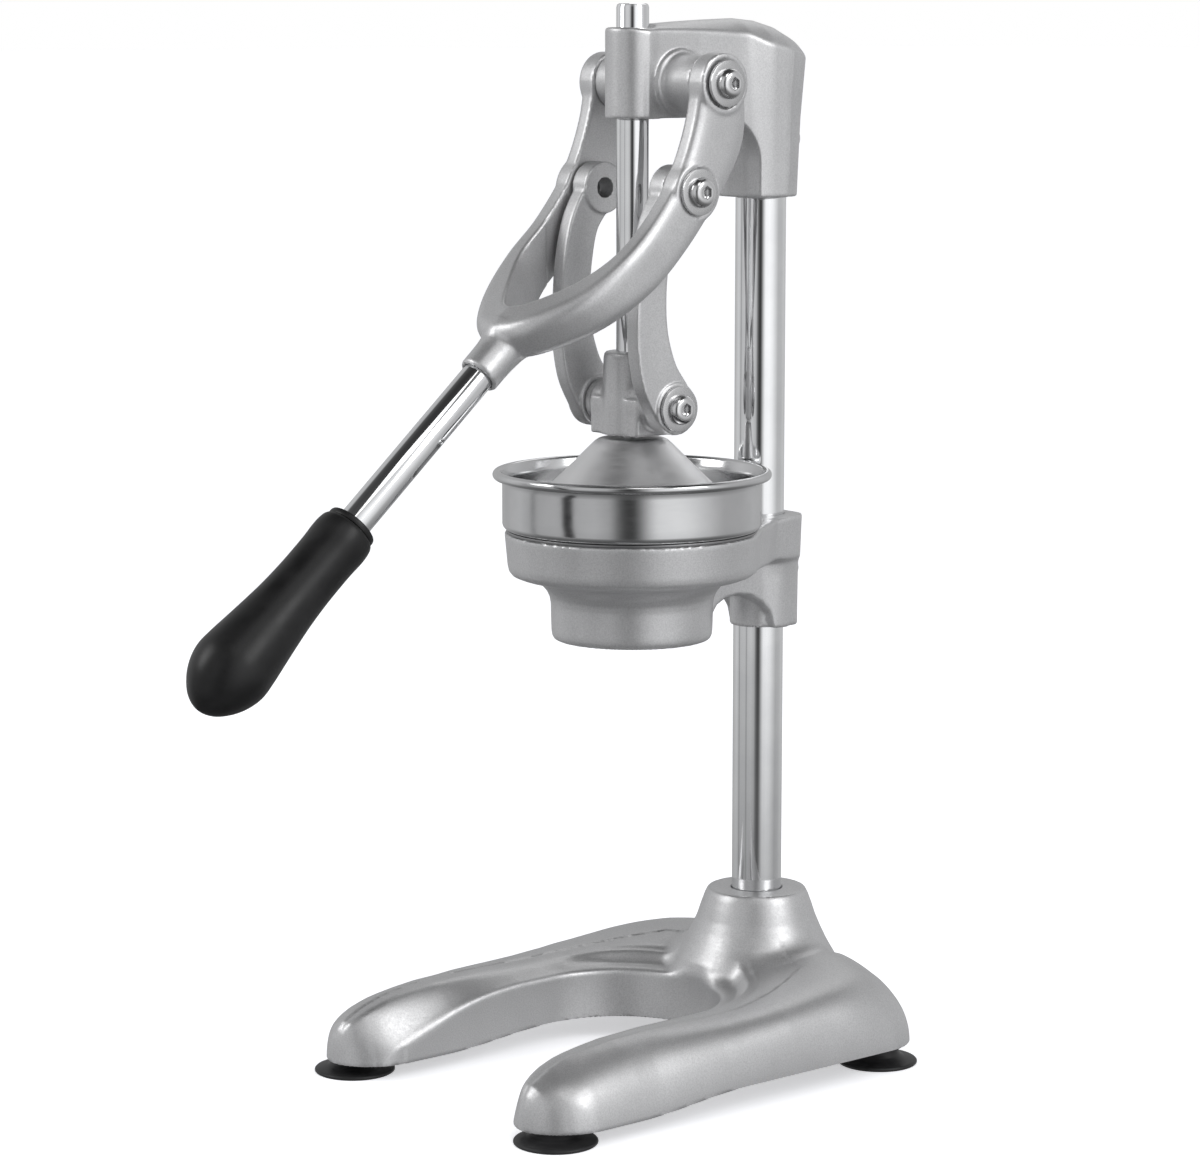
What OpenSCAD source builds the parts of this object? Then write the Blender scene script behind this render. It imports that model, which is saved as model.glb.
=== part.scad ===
// Hand lever citrus press: stand with bowl, sliding press and forked lever.
// Millimetres. Z is up, the lever points to -Y, the column stands to +Y.
// Z = 0 is the plane under the four feet.

/* [Layout] */
// Distance from the centre of the whole juicer back to the bowl axis
bowl_y = 68; // [66:0.1:70]
// Distance from the bowl axis back to the column axis
column_reach = 80; // [79:0.5:82]
// Distance from the bowl axis back to the lever pivot
lever_pivot_y = 18; // [17:0.5:19]
// Height of the lever pivot
lever_pivot_z = 463; // [462:0.5:464]
// Distance from the bowl axis back to the upper link pivot, lever down
link_pivot_y = 2.4; // [2:0.1:3]
// Height of the upper link pivot, lever down
link_pivot_z = 414.5; // [414:0.5:415]
// Height of the lower link pivot, lever down
cross_pivot_z = 315.5; // [315:0.5:316]

/* [Base] */
// Half the width across the two legs
base_half_w = 93.5; // [92:0.5:95]
// Half the clear width between the legs
bay_half_w = 48; // [46:0.5:50]
// Front tip of the legs, forward of the bowl axis
leg_tip = 124; // [122:1:128]
// Rear edge of the base, behind the bowl axis
base_rear = 109; // [108:0.5:110]
// Height of the lower edge of the casting above the table
base_edge_z = 10; // [9:0.5:11]
// Height of the legs
leg_top = 40; // [38:0.5:42]
// Height of the hub that holds the column
hub_top = 74.3; // [73:0.1:76]
// Radius of the hub at its top
hub_r = 23.1; // [22:0.1:24]
// Wall of the hollow base casting
base_wall = 5; // [4:0.5:6]

/* [Feet] */
// Radius of the rubber suction disc
foot_r = 19; // [18:0.5:20]
// Radius of the foot's neck
foot_neck_r = 10; // [9:0.5:11]
// Front feet, distance from the centre line
front_foot_x = 75; // [73:0.5:76]
// Front feet, forward of the bowl axis
front_foot_y = 108; // [106:0.5:109]
// Rear feet, distance from the centre line
rear_foot_x = 73.5; // [72:0.5:74]
// Rear feet, behind the bowl axis
rear_foot_y = 91.5; // [90:0.5:92]

/* [Column] */
// Outer diameter of the column tube
column_d = 24; // [23:0.5:24.5]
// Wall of the column tube
column_wall = 2; // [1.5:0.25:3]
// Height of the column's upper end inside the head
column_top = 476; // [470:1:478]

/* [Head] */
// Height of the flat top of the guide boss
boss_top = 488; // [487:0.5:489]
// Height of the lower face of the guide boss
boss_bottom = 447; // [446:0.5:448]
// Radius of the guide boss
boss_r = 12.6; // [12.5:0.1:13]
// Height of the lower end of the clamp sleeve
sleeve_bottom = 409; // [407:0.5:411]
// Radius of the trunnions that carry the lever
trunnion_r = 13; // [12.5:0.1:13.5]

/* [Lever] */
// Inner face of the fork arms, from the centre line
arm_in_x = 33.3; // [33.2:0.1:33.6]
// Outer face of the fork eyes, from the centre line
arm_out_x = 43.8; // [43.4:0.1:44]
// Radius of the fork eyes
eye_r = 13.9; // [13.5:0.1:14.5]
// Angle of the handle below the horizontal
handle_tilt = 41.1; // [40.5:0.1:41.5]
// Diameter of the chromed handle rod
handle_rod_d = 15; // [14.5:0.1:15.5]
// Length of the rubber grip
grip_len = 107; // [105:1:108]
// Largest radius of the rubber grip
grip_r = 18.3; // [17.5:0.1:18.6]

/* [Links] */
// Inner face of the links, from the centre line
link_in_x = 22.2; // [22.1:0.1:22.5]
// Outer face of the links, from the centre line
link_out_x = 32; // [31.5:0.1:32.2]
// Width of the curved link bar
link_w = 17; // [15:0.5:18]
// Radius of the link eyes
link_eye_r = 12; // [11.5:0.1:12.4]

/* [Press] */
// Diameter of the guide rod
guide_rod_d = 15; // [14.8:0.1:15.2]
// Height of the guide rod's top, lever down
guide_rod_top = 499; // [497:0.5:500]
// Rise of the press when the lever is lifted fully
press_travel = 82.3; // [80:0.1:83]
// Height of the crosshead boss top
cross_top = 340; // [338:0.5:342]
// Lower face of the crosshead
cross_bottom = 301.5; // [301:0.5:302]
// Outer radius of the hood's lower rim
hood_r = 47.5; // [46:0.5:48]
// Wall of the hood
hood_wall = 3; // [2.5:0.25:3.5]

/* [Bowl and holder] */
// Outer radius of the bowl's rolled rim
bowl_rim_r = 65; // [64.5:0.1:65.5]
// Height of the centre of the rolled rim
bowl_rim_z = 282.8; // [282:0.1:284]
// Outer radius of the bowl's wall
bowl_wall_r = 60.5; // [60:0.1:61]
// Underside of the bowl
bowl_bottom_z = 257.2; // [257:0.1:257.5]
// Radius of the holder ring
ring_r = 59.5; // [59:0.1:60]
// Radius of the holder's outlet
outlet_r = 38; // [37:0.5:39]
// Lower edge of the outlet
outlet_bottom = 205.5; // [205:0.5:207]
// Number of drain slots in the bowl floor
drain_slots = 24; // [16:2:30]
// Number of ribs on the reamer
reamer_ribs = 10; // [8:1:12]

/* [Hidden] */

$fn = 64;
fit = 0.05;
column_r = column_d / 2;
pivot_bush_r = 8;
cross_bush_r = 7;
flange_r = 10.5;
flange_t = 1.8;
screw_r = 4;
head_r = 7;
head_k = 4.4;
guide_r = guide_rod_d / 2;
rod_r = handle_rod_d / 2;
trunnion_x = arm_in_x - 0.3;
cross_x = link_in_x - 0.3;
socket_end_y = -90.9;
socket_end_z = 333.6;

aluminium = [0.70, 0.71, 0.72];
chrome = [0.82, 0.84, 0.86];
stainless = [0.76, 0.77, 0.78];
rubber = [0.07, 0.07, 0.075];

// ---- helpers -------------------------------------------------------------

// Puts the bowl axis at its place in the juicer's own frame
module on_axis() { translate([0, bowl_y, 0]) children(); }

// Right side for s = 1, mirrored to the left side for s = -1
module side(s) { if (s > 0) children(); else mirror([1, 0, 0]) children(); }

// Local +Z becomes +X at the given place
module along_x(x, y, z) { translate([x, y, z]) rotate([0, 90, 0]) children(); }

// Local +Z becomes +Y at the given place
module along_y(x, y, z) { translate([x, y, z]) rotate([-90, 0, 0]) children(); }

// Local +Z runs down the handle, starting at the mouth of the fork's socket
module along_handle() {
    translate([0, socket_end_y, socket_end_z]) rotate([90 + handle_tilt, 0, 0]) children();
}

// Catmull-Rom spline through the rows of a table, t from 0 to len - 1
function cr(a, b, c, d, t) = 0.5 * (2 * b + (c - a) * t
    + (2 * a - 5 * b + 4 * c - d) * t * t + (3 * b - 3 * c + d - a) * t * t * t);
function row(tab, i) = tab[max(0, min(len(tab) - 1, i))];
function spline(tab, t) = let (i = min(floor(t), len(tab) - 2), f = t - i)
    cr(row(tab, i - 1), row(tab, i), row(tab, i + 1), row(tab, i + 2), f);
function unit(v) = v / norm(v);
function spow(v, e) = v < 0 ? -pow(-v, e) : pow(v, e);

// Closed solid through equal sized loops of points, with fan caps
module loft(loops) {
    n = len(loops);
    m = len(loops[0]);
    mean0 = [for (k = [0:2]) [for (p = loops[0]) p[k]] * [for (p = loops[0]) 1 / m]];
    mean1 = [for (k = [0:2]) [for (p = loops[n - 1]) p[k]] * [for (p = loops[n - 1]) 1 / m]];
    polyhedron(
        points = concat([for (l = loops) for (p = l) p], [mean0, mean1]),
        faces = concat(
            [for (j = [0:m - 1]) [n * m, (j + 1) % m, j]],
            [for (i = [0:n - 2]) for (j = [0:m - 1]) each [
                [i * m + j, i * m + (j + 1) % m, (i + 1) * m + j],
                [i * m + (j + 1) % m, (i + 1) * m + (j + 1) % m, (i + 1) * m + j]]],
            [for (j = [0:m - 1]) [n * m + 1, (n - 1) * m + j, (n - 1) * m + (j + 1) % m]]),
        convexity = 6);
}

// Button head screw: the head's seat is Z = 0, the shank runs down
module button_screw(shank) {
    difference() {
        rotate_extrude() polygon(concat(
            [[0, -shank + 0.8], [0, -shank], [screw_r - 0.8, -shank], [screw_r, -shank + 0.8],
             [screw_r, 0], [head_r, 0], [head_r, 0.7]],
            [for (a = [15:15:75]) [3.6 + (head_r - 3.6) * cos(a), 0.7 + (head_k - 0.7) * sin(a)]],
            [[3.4, head_k], [0, head_k]]));
        translate([0, 0, head_k - 2.6]) cylinder(r = 2.5 / cos(30), h = 3, $fn = 6);
    }
}

// ---- base ----------------------------------------------------------------

// Stations of the right half of the horseshoe, from the leg's tip to the middle
// of the back: inner edge x, y, outer edge x, y, crown height, height of the
// crisp inner edge and height of the lower edge
leg_mid = (base_half_w + bay_half_w) / 2;
leg_half = (base_half_w - bay_half_w) / 2;
tip_len = 26;
function low_z(y) = base_edge_z + (y > -10 ? 1 : 1 - 4 * pow(sin(min(90, (-10 - y) * 1.4)), 2));
function tip_row(a) = let (y = -leg_tip + tip_len * (1 - cos(a)))
    [leg_mid - leg_half * sin(a), y, leg_mid + leg_half * sin(a), y,
     12 + (leg_top - 17) * pow(sin(a), 0.7), 9 + 3 * sin(a), low_z(y)];
function leg_row(yi, yo, h, c) = [bay_half_w, yi, base_half_w, yo, h, c, low_z(yi)];
function bay_row(a, ox, oy, h) = [bay_half_w * cos(a), -8 + bay_half_w * sin(a), ox, oy, h, 34, low_z(0)];
base_rows = concat(
    [for (a = [8, 20, 35, 50, 65, 80]) tip_row(a)],
    [leg_row(-90, -90, leg_top - 3, 19), leg_row(-78, -78, leg_top - 1.6, 23.5),
     leg_row(-64, -64, leg_top - 0.6, 29), leg_row(-48, -46, leg_top, 32.5),
     leg_row(-28, -20, leg_top, 34)],
    [bay_row(0, base_half_w, 8, leg_top),
     bay_row(16, base_half_w, 34, leg_top + 0.5),
     bay_row(32, base_half_w, 60, leg_top + 2),
     bay_row(46, base_half_w - 0.8, 82, leg_top + 4),
     bay_row(57, base_half_w - 6, 98, leg_top + 5.5),
     bay_row(66, base_half_w - 17, base_rear - 2, leg_top + 7),
     bay_row(74, base_half_w - 38, base_rear, leg_top + 9),
     bay_row(82, 28, base_rear, leg_top + 11),
     bay_row(90, 0, base_rear, leg_top + 12)]);

// One loop across the horseshoe, moved inward by t: a straight inner wall, a
// crown a third of the way across and a full round outer side
crown_u = 0.36;
function top_z(u, h, c, z0) = u < crown_u
    ? c + (h - c) * sin(90 * u / crown_u)
    : z0 + (h - z0) * pow(1 - pow((u - crown_u) / (1 - crown_u), 2.6), 0.5);
function base_loop(r, t, zlow) = let (
        i = [r[0], r[1]], o = [r[2], r[3]], d = unit(o - i), w = norm(o - i),
        ti = min(t, w / 2 - 0.5), z0 = t > 0 ? zlow : r[6])
    concat([for (a = [0:15:180]) let (
            u = 0.5 + 0.5 * cos(a),
            q = i + d * (ti + (w - 2 * ti) * u))
        [q[0], q[1], max(z0, top_z(u, r[4] - t, r[5] - t, z0))]],
        [[i[0] + d[0] * ti, i[1] + d[1] * ti, z0]]);
function flip(l) = [for (p = l) [-p[0], p[1], p[2]]];
function rows_from(k0) = [for (k = [k0:len(base_rows) - 1]) base_rows[k]];
function base_loops(k0, t, z0) = let (r = rows_from(k0), n = len(r))
    concat([for (k = [0:n - 1]) base_loop(r[k], t, z0)],
           [for (k = [n - 2:-1:0]) flip_rev(base_loop(r[k], t, z0))]);
function flip_rev(l) = [for (p = l) [-p[0], p[1], p[2]]];

foot_places = [[front_foot_x, -front_foot_y], [-front_foot_x, -front_foot_y],
    [rear_foot_x, rear_foot_y], [-rear_foot_x, rear_foot_y]];

module hub_shape() {
    intersection() {
        translate([0, column_reach, 0]) rotate_extrude() polygon([[0, base_edge_z + 8],
            [52, base_edge_z + 8], [50, 41], [44, 43.5], [38, 47], [33.5, 51.5], [30.6, 56],
            [28.3, 61], [26.6, 66], [25, 71], [hub_r + 1, hub_top - 1], [hub_r, hub_top], [0, hub_top]]);
        difference() {
            translate([-60, -10, 0]) cube([120, base_rear + 9.4, 100]);
            translate([0, -8, -1]) cylinder(r = bay_half_w + 2, h = 102);
        }
    }
}

module base_casting() {
    color(aluminium) on_axis() difference() {
        union() {
            loft(base_loops(0, 0, base_edge_z));
            hub_shape();
        }
        // hollow underside, less the foot bosses and the column socket
        difference() {
            loft(base_loops(2, base_wall, base_edge_z - 5));
            for (p = foot_places) translate([p[0], p[1], 0]) cylinder(r = 10, h = 60);
            translate([0, column_reach, 0]) cylinder(r = 18, h = 80);
        }
        // seats of the feet, level with the lower edge
        for (p = foot_places) translate([p[0], p[1], 0]) cylinder(r = 11, h = base_edge_z);
        translate([0, column_reach, 0]) cylinder(r = 20, h = base_edge_z + 1);
        // column socket with a step below the tube
        translate([0, column_reach, 22]) cylinder(r = column_r, h = 80);
        translate([0, column_reach, -1]) cylinder(r = column_r - 3, h = 40);
        // rear clamp screw
        along_y(0, column_reach + column_r - 1, 63) cylinder(r = screw_r, h = 30);
        along_y(0, column_reach + 25.5, 63) cylinder(r = head_r + 0.5, h = 10);
        for (p = foot_places)
            translate([p[0], p[1], base_edge_z - 5]) cylinder(r = 3, h = 20);
    }
}

// ---- feet ----------------------------------------------------------------

module suction_foot(p) {
    color(rubber) on_axis() translate([p[0], p[1], 0]) difference() {
        rotate_extrude() polygon([[0, 1.2], [12, 1.2], [13.5, 0], [foot_r - 0.6, 0], [foot_r, 0.7],
            [foot_r, 1.5], [foot_r - 1.5, 2.3], [14, 3], [foot_neck_r + 1, 4.2],
            [foot_neck_r, 5.5], [foot_neck_r, base_edge_z], [0, base_edge_z]]);
        translate([0, 0, 4]) cylinder(r = 3, h = 10);
    }
}
module front_right_foot() { suction_foot(foot_places[0]); }
module front_left_foot() { suction_foot(foot_places[1]); }
module rear_right_foot() { suction_foot(foot_places[2]); }
module rear_left_foot() { suction_foot(foot_places[3]); }
module foot_screws() {
    color(stainless) on_axis() for (p = foot_places)
        translate([p[0], p[1], 4]) cylinder(r = 3, h = base_edge_z + 6);
}

// ---- column and head -----------------------------------------------------

module column_tube() {
    color(chrome) on_axis() translate([0, column_reach, 22]) rotate_extrude()
        polygon([[column_r - column_wall, 0], [column_r - 0.6, 0], [column_r, 0.6],
            [column_r, column_top - 22.6], [column_r - 0.6, column_top - 22],
            [column_r - column_wall, column_top - 22]]);
}

// Head sections along Y: y, half width, lower edge, upper edge
head_rows = [
    [1, 12.4, boss_bottom, boss_top + 0.2],
    [20, 12.9, boss_bottom, boss_top + 1],
    [38, 13.6, boss_bottom, boss_top + 2],
    [50, 14.4, boss_bottom - 3, boss_top + 3],
    [60, 15.4, boss_bottom - 10, boss_top + 3.6],
    [68, 16.4, boss_bottom - 21, boss_top + 3.2],
    [78, 17.6, boss_bottom - 21, boss_top + 1.6],
    [88, 17.0, boss_bottom - 18, boss_top - 2.4],
    [94, 14.0, boss_bottom - 12, boss_top - 7],
    [98, 9.0, boss_bottom - 4, boss_top - 12.5]];
function head_loop(r) = [for (k = [0:15]) let (a = 22.5 * k + 11.25, c = cos(a), s = sin(a))
    [r[1] * spow(c, 0.42), r[0],
     (r[2] + r[3]) / 2 + (r[3] - r[2]) / 2 * spow(s, s > 0 ? 0.5 : 0.3)]];

module head_casting() {
    color(aluminium) on_axis() difference() {
        union() {
            loft([for (k = [0:0.5:len(head_rows) - 1]) head_loop(spline(head_rows, k))]);
            translate([0, 0, boss_bottom]) rotate_extrude()
                polygon([[0, 0], [boss_r - 0.8, 0], [boss_r, 0.8],
                    [boss_r, boss_top - boss_bottom - 1.2], [boss_r - 1.2, boss_top - boss_bottom],
                    [0, boss_top - boss_bottom]]);
            translate([0, column_reach, 0]) rotate_extrude()
                polygon([[0, sleeve_bottom], [15.2, sleeve_bottom], [16, sleeve_bottom + 0.8],
                    [16.2, 430], [17.2, 445], [18.7, 458], [19.6, 468], [19.2, 474], [17.6, 479],
                    [14, 483], [0, 485]]);
            for (s = [-1, 1]) side(s) along_x(0, lever_pivot_y, lever_pivot_z) rotate_extrude()
                polygon([[0, 0], [18.5, 0], [17, 14.2], [trunnion_r + 1.6, 15.6], [trunnion_r + 0.4, 18.5],
                    [trunnion_r, 22], [trunnion_r, trunnion_x - 0.6], [trunnion_r - 0.6, trunnion_x],
                    [0, trunnion_x]]);
        }
        translate([0, 0, boss_bottom - 1]) cylinder(r = 10, h = 60);
        translate([0, column_reach, sleeve_bottom - 1]) cylinder(r = column_r, h = column_top - sleeve_bottom + 1);
        for (s = [-1, 1]) side(s) along_x(16, lever_pivot_y, lever_pivot_z) cylinder(r = screw_r, h = 30);
        along_y(0, column_reach + column_r - 1, 436) cylinder(r = screw_r, h = 30);
        along_y(0, column_reach + 16.2, 436) cylinder(r = head_r + 0.5, h = 10);
    }
}

module guide_bush() {
    color(stainless) on_axis() translate([0, 0, boss_bottom]) rotate_extrude()
        polygon([[guide_r + fit, 0], [10, 0], [10, boss_top - boss_bottom],
            [guide_r + fit, boss_top - boss_bottom]]);
}

module head_set_screw() {
    color(stainless) on_axis() along_y(0, column_reach + 16.2, 436) button_screw(16.2 - column_r);
}
module holder_set_screw() {
    color(stainless) on_axis() along_y(0, column_reach + 17.4, 230) button_screw(17.4 - column_r);
}
module base_set_screw() {
    color(stainless) on_axis() along_y(0, column_reach + 25.5, 63) button_screw(25.5 - column_r);
}

module pivot_bush(s) {
    color(stainless) on_axis() side(s) along_x(trunnion_x, lever_pivot_y, lever_pivot_z)
        rotate_extrude() let (l = arm_out_x + 0.3 - trunnion_x)
            polygon([[screw_r, 0], [pivot_bush_r, 0], [pivot_bush_r, l], [flange_r, l],
                [flange_r, l + flange_t - 0.4], [flange_r - 0.4, l + flange_t], [screw_r, l + flange_t]]);
}
module right_pivot_bush() { pivot_bush(1); }
module left_pivot_bush() { pivot_bush(-1); }
module pivot_screw(s) {
    color(stainless) on_axis() side(s)
        along_x(arm_out_x + 0.3 + flange_t, lever_pivot_y, lever_pivot_z) button_screw(27);
}
module right_pivot_screw() { pivot_screw(1); }
module left_pivot_screw() { pivot_screw(-1); }

// ---- bowl, funnel and holder ----------------------------------------------

module holder_casting() {
    ring_top = 256;
    color(aluminium) on_axis() difference() {
        union() {
            // ring, flare and outlet
            rotate_extrude() polygon([[0, outlet_bottom], [outlet_r - 4, outlet_bottom],
                [outlet_r - 1.4, outlet_bottom + 1], [outlet_r - 0.4, outlet_bottom + 3.6], [outlet_r, 224],
                [outlet_r + 1.5, 228], [outlet_r + 4.5, 231.5], [outlet_r + 8.5, 234], [50.5, 235.4],
                [55.5, 236.4], [ring_r - 2, 238.5], [ring_r - 1.2, 242], [ring_r, ring_top - 1.5],
                [ring_r - 0.8, ring_top], [0, ring_top]]);
            // bracket plate back to the column sleeve
            translate([0, 0, 237.5]) linear_extrude(height = ring_top + 1 - 237.5)
                polygon([[-46, 20], [46, 20], [44, 38], [20.4, 76], [20.3, column_reach], [-20.3, column_reach],
                    [-20.4, 76], [-44, 38]]);
            translate([0, column_reach, 0]) rotate_extrude() polygon([[0, 204], [16.2, 204], [17, 205],
                [17.2, 222], [18, 232], [20.3, 240], [20.3, ring_top], [19.3, ring_top + 1], [0, ring_top + 1]]);
            // web below the plate
            rotate([90, 0, 90]) translate([0, 0, -15]) linear_extrude(height = 30)
                polygon([[28, 240], [28, 212], [40, 210], [78, 204.4], [78, 240]]);
        }
        // arch through the web and the front of the sleeve
        difference() {
            rotate([90, 0, 90]) translate([0, 0, -25]) linear_extrude(height = 50)
                polygon([[30, 195], [30, 214], [40.5, 218.6], [46, 221.4], [54, 222.4], [62, 221], [69, 217],
                    [73.6, 211.2], [75.6, 204], [75.8, 195]]);
            translate([0, 0, 190]) cylinder(r = outlet_r, h = 40);
            translate([0, column_reach, 190]) cylinder(r = column_r + 1.7, h = 40);
        }
        // seat of the funnel's flange
        translate([0, 0, ring_top]) cylinder(r = ring_r - 0.3, h = 3);
        // juice way through the ring and the outlet
        rotate_extrude() polygon([[0, outlet_bottom - 1], [outlet_r - 4.5, outlet_bottom - 1], [outlet_r - 4.5, 227],
            [47, 240.5], [53.5, 243], [54.5, 246], [54.5, 262], [0, 262]]);
        translate([0, column_reach, 200]) cylinder(r = column_r, h = 70);
        along_y(0, column_reach + column_r - 1, 230) cylinder(r = screw_r, h = 30);
        along_y(0, column_reach + 17.4, 230) cylinder(r = head_r + 0.5, h = 10);
    }
}

module juice_funnel() {
    color(stainless) on_axis() rotate_extrude() polygon([
        [58.6, 257.2], [58.6, 256], [53.6, 256], [53.6, 246.2], [51.5, 243.8], [15, 224], [13.5, 221.5],
        [13.5, 208], [12.5, 208], [12.5, 222], [14.2, 224.8], [50.8, 244.6], [52.6, 246.8], [52.6, 257.2]]);
}

module strainer_bowl() {
    floor_t = 1;
    bead_r = 2.15;
    color(stainless) on_axis() difference() {
        union() {
            translate([0, 0, bowl_rim_z]) rotate_extrude()
                translate([bowl_rim_r - bead_r, 0]) circle(r = bead_r, $fn = 32);
            rotate_extrude() polygon([[0, bowl_bottom_z], [bowl_wall_r - 3, bowl_bottom_z],
                [bowl_wall_r - 1.2, bowl_bottom_z + 0.7], [bowl_wall_r - 0.2, bowl_bottom_z + 2.2],
                [bowl_wall_r, bowl_bottom_z + 4], [bowl_wall_r, bowl_rim_z - 2],
                [bowl_rim_r - bead_r, bowl_rim_z - 0.8], [bowl_rim_r - bead_r, bowl_rim_z + 0.8],
                [bowl_wall_r - 1, bowl_rim_z - 1],
                [bowl_wall_r - 1, bowl_bottom_z + 4], [bowl_wall_r - 2.2, bowl_bottom_z + 1.8],
                [bowl_wall_r - 3.4, bowl_bottom_z + floor_t], [0, bowl_bottom_z + floor_t]]);
        }
        for (k = [0:drain_slots - 1]) rotate([0, 0, (k + 0.5) * 360 / drain_slots])
            translate([40.5, -1.3, bowl_bottom_z - 1]) cube([9, 2.6, 3]);
    }
}

// Ribbed reamer standing on the bowl's floor
module reamer_cone() {
    z0 = bowl_bottom_z + 1;
    color(stainless) on_axis() union() {
        rotate_extrude() polygon([[30.5, z0], [38, z0], [38, z0 + 0.9], [33, z0 + 1.2], [29.5, z0 + 3.4],
            [8, z0 + 22], [5, z0 + 23.6], [0, z0 + 24.2], [0, z0 + 22.6], [4.4, z0 + 22.2],
            [7, z0 + 20.8], [28.4, z0 + 2.2], [30.5, z0 + 0.6]]);
        for (k = [0:reamer_ribs - 1]) rotate([0, 0, k * 360 / reamer_ribs + 18])
            rotate([90, 0, 0]) translate([0, 0, -0.9]) linear_extrude(height = 1.8)
                polygon([[31.5, z0 + 1.2], [34.5, z0 + 1.1], [31.5, z0 + 4.4], [10, z0 + 22.6], [7, z0 + 22.8],
                    [7.2, z0 + 21.6], [29, z0 + 2.8]]);
    }
}

// ---- lever ---------------------------------------------------------------

// Right half of the fork from the eye to the crotch:
// x, y, z, half width, half thickness, slope from the vertical
mid_x = (arm_in_x + arm_out_x) / 2;
half_x = (arm_out_x - arm_in_x) / 2;
fork_rows = [
    [mid_x, lever_pivot_y, lever_pivot_z, 13.2, half_x - 0.2, 12],
    [mid_x, 16, 440, 15.4, half_x - 0.1, 17],
    [mid_x, link_pivot_y, 414.5, 13, half_x, 31],
    [mid_x, -15, 393, 12, half_x, 43],
    [mid_x - 1, -33, 377, 11.6, half_x + 0.6, 48],
    [mid_x - 9.5, -51, 363.5, 11, half_x + 3, 49],
    [mid_x - 25, -68, 353.8, 10.4, half_x + 3.8, 49],
    [0, -74, 351, 10.2, half_x + 3.8, 49]];
fork_n = 28;
function fork_at(k) = spline(fork_rows, k * (len(fork_rows) - 1) / fork_n);
function fork_pos(k) = let (r = fork_at(min(k, fork_n))) [r[0], r[1], r[2]];
function fork_loop(k) = let (
        r = fork_at(k), c = [r[0], r[1], r[2]],
        t = k == fork_n ? [-1, 0, 0] : unit(fork_pos(k + 1) - fork_pos(max(0, k - 1))),
        v = [0, -cos(r[5]), sin(r[5])],
        u = unit(cross(t, v)), w = cross(u, t),
        e = k < fork_n * 0.62 ? 0.35 : 0.35 + 0.45 * (k / fork_n - 0.62) / 0.38)
    [for (j = [0:15]) let (a = 22.5 * j + 11.25, p = cos(a), q = sin(a))
        c + u * r[4] * spow(p, p > 0 ? e : 0.75) + w * r[3] * spow(q, p > 0 ? e + 0.2 : 0.85)];

module yoke_casting() {
    color(aluminium) on_axis() difference() {
        union() {
            loft(concat([for (k = [0:fork_n]) fork_loop(k)],
                [for (k = [fork_n - 1:-1:0]) flip(fork_loop(k))]));
            for (s = [-1, 1]) side(s) {
                along_x(arm_in_x, lever_pivot_y, lever_pivot_z) rotate_extrude()
                    polygon([[0, 0], [eye_r - 0.8, 0], [eye_r, 0.8], [eye_r, arm_out_x - arm_in_x - 0.8],
                        [eye_r - 0.8, arm_out_x - arm_in_x], [0, arm_out_x - arm_in_x]]);
                along_x(arm_in_x, link_pivot_y, link_pivot_z) rotate_extrude()
                    polygon([[0, 0], [12.4, 0], [13, 0.6], [13, 8.9], [12.2, 9.7], [0, 9.7]]);
            }
            // handle socket
            along_handle() rotate_extrude()
                polygon([[0, -26], [11.5, -26], [10.6, -20], [9.9, -14], [9.6, -8], [9.7, -0.8], [8.9, 0], [0, 0]]);
        }
        for (s = [-1, 1]) side(s) {
            along_x(arm_in_x - 1, lever_pivot_y, lever_pivot_z) cylinder(r = pivot_bush_r + fit, h = 14);
            along_x(arm_in_x - 1, link_pivot_y, link_pivot_z) cylinder(r = screw_r, h = 14);
            along_x(arm_in_x + 9.7, link_pivot_y, link_pivot_z) cylinder(r = flange_r + 0.6, h = 4);
        }
        along_handle() translate([0, 0, -22]) cylinder(r = rod_r, h = 30);
    }
}

module handle_rod() {
    color(chrome) on_axis() along_handle() translate([0, 0, -22]) rotate_extrude()
        polygon([[0, 0], [rod_r - 0.8, 0], [rod_r, 0.8], [rod_r, 181.2], [rod_r - 0.8, 182], [0, 182]]);
}

grip_start = 96;
module grip_collar() {
    color(rubber) on_axis() along_handle() rotate_extrude()
        polygon([[rod_r, grip_start - 3], [11.2, grip_start - 3], [11.8, grip_start - 2.4],
            [11.8, grip_start], [rod_r, grip_start]]);
}

// Grip outline along its axis: share of the length, radius
grip_rows = [[0, 12.2], [0.02, 13.3], [0.07, 13.8], [0.16, 13.4], [0.3, 13.5], [0.42, 14.2],
    [0.52, 15.3], [0.62, 16.6], [0.71, 17.8], [0.78, grip_r], [0.84, 17.1], [0.9, 14.2], [0.955, 9.6],
    [0.985, 5], [1, 0]];
module grip() {
    color(rubber) on_axis() along_handle() difference() {
        translate([0, 0, grip_start]) rotate_extrude() polygon(concat([[0, 0]],
            [for (k = [0:0.5:len(grip_rows) - 1]) let (r = spline(grip_rows, k))
                [max(0, r[1]), r[0] * grip_len]]));
        translate([0, 0, grip_start - 1]) cylinder(r = rod_r, h = 65);
    }
}

module link_washer(s) {
    color(stainless) on_axis() side(s) along_x(arm_in_x + 9.7, link_pivot_y, link_pivot_z) rotate_extrude()
        polygon([[screw_r, 0], [flange_r, 0], [flange_r, flange_t - 0.4], [flange_r - 0.4, flange_t],
            [screw_r, flange_t]]);
}
module right_link_washer() { link_washer(1); }
module left_link_washer() { link_washer(-1); }
module link_screw(s) {
    color(stainless) on_axis() side(s)
        along_x(arm_in_x + 9.7 + flange_t, link_pivot_y, link_pivot_z) button_screw(11);
}
module right_link_screw() { link_screw(1); }
module left_link_screw() { link_screw(-1); }

// ---- links ---------------------------------------------------------------

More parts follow.
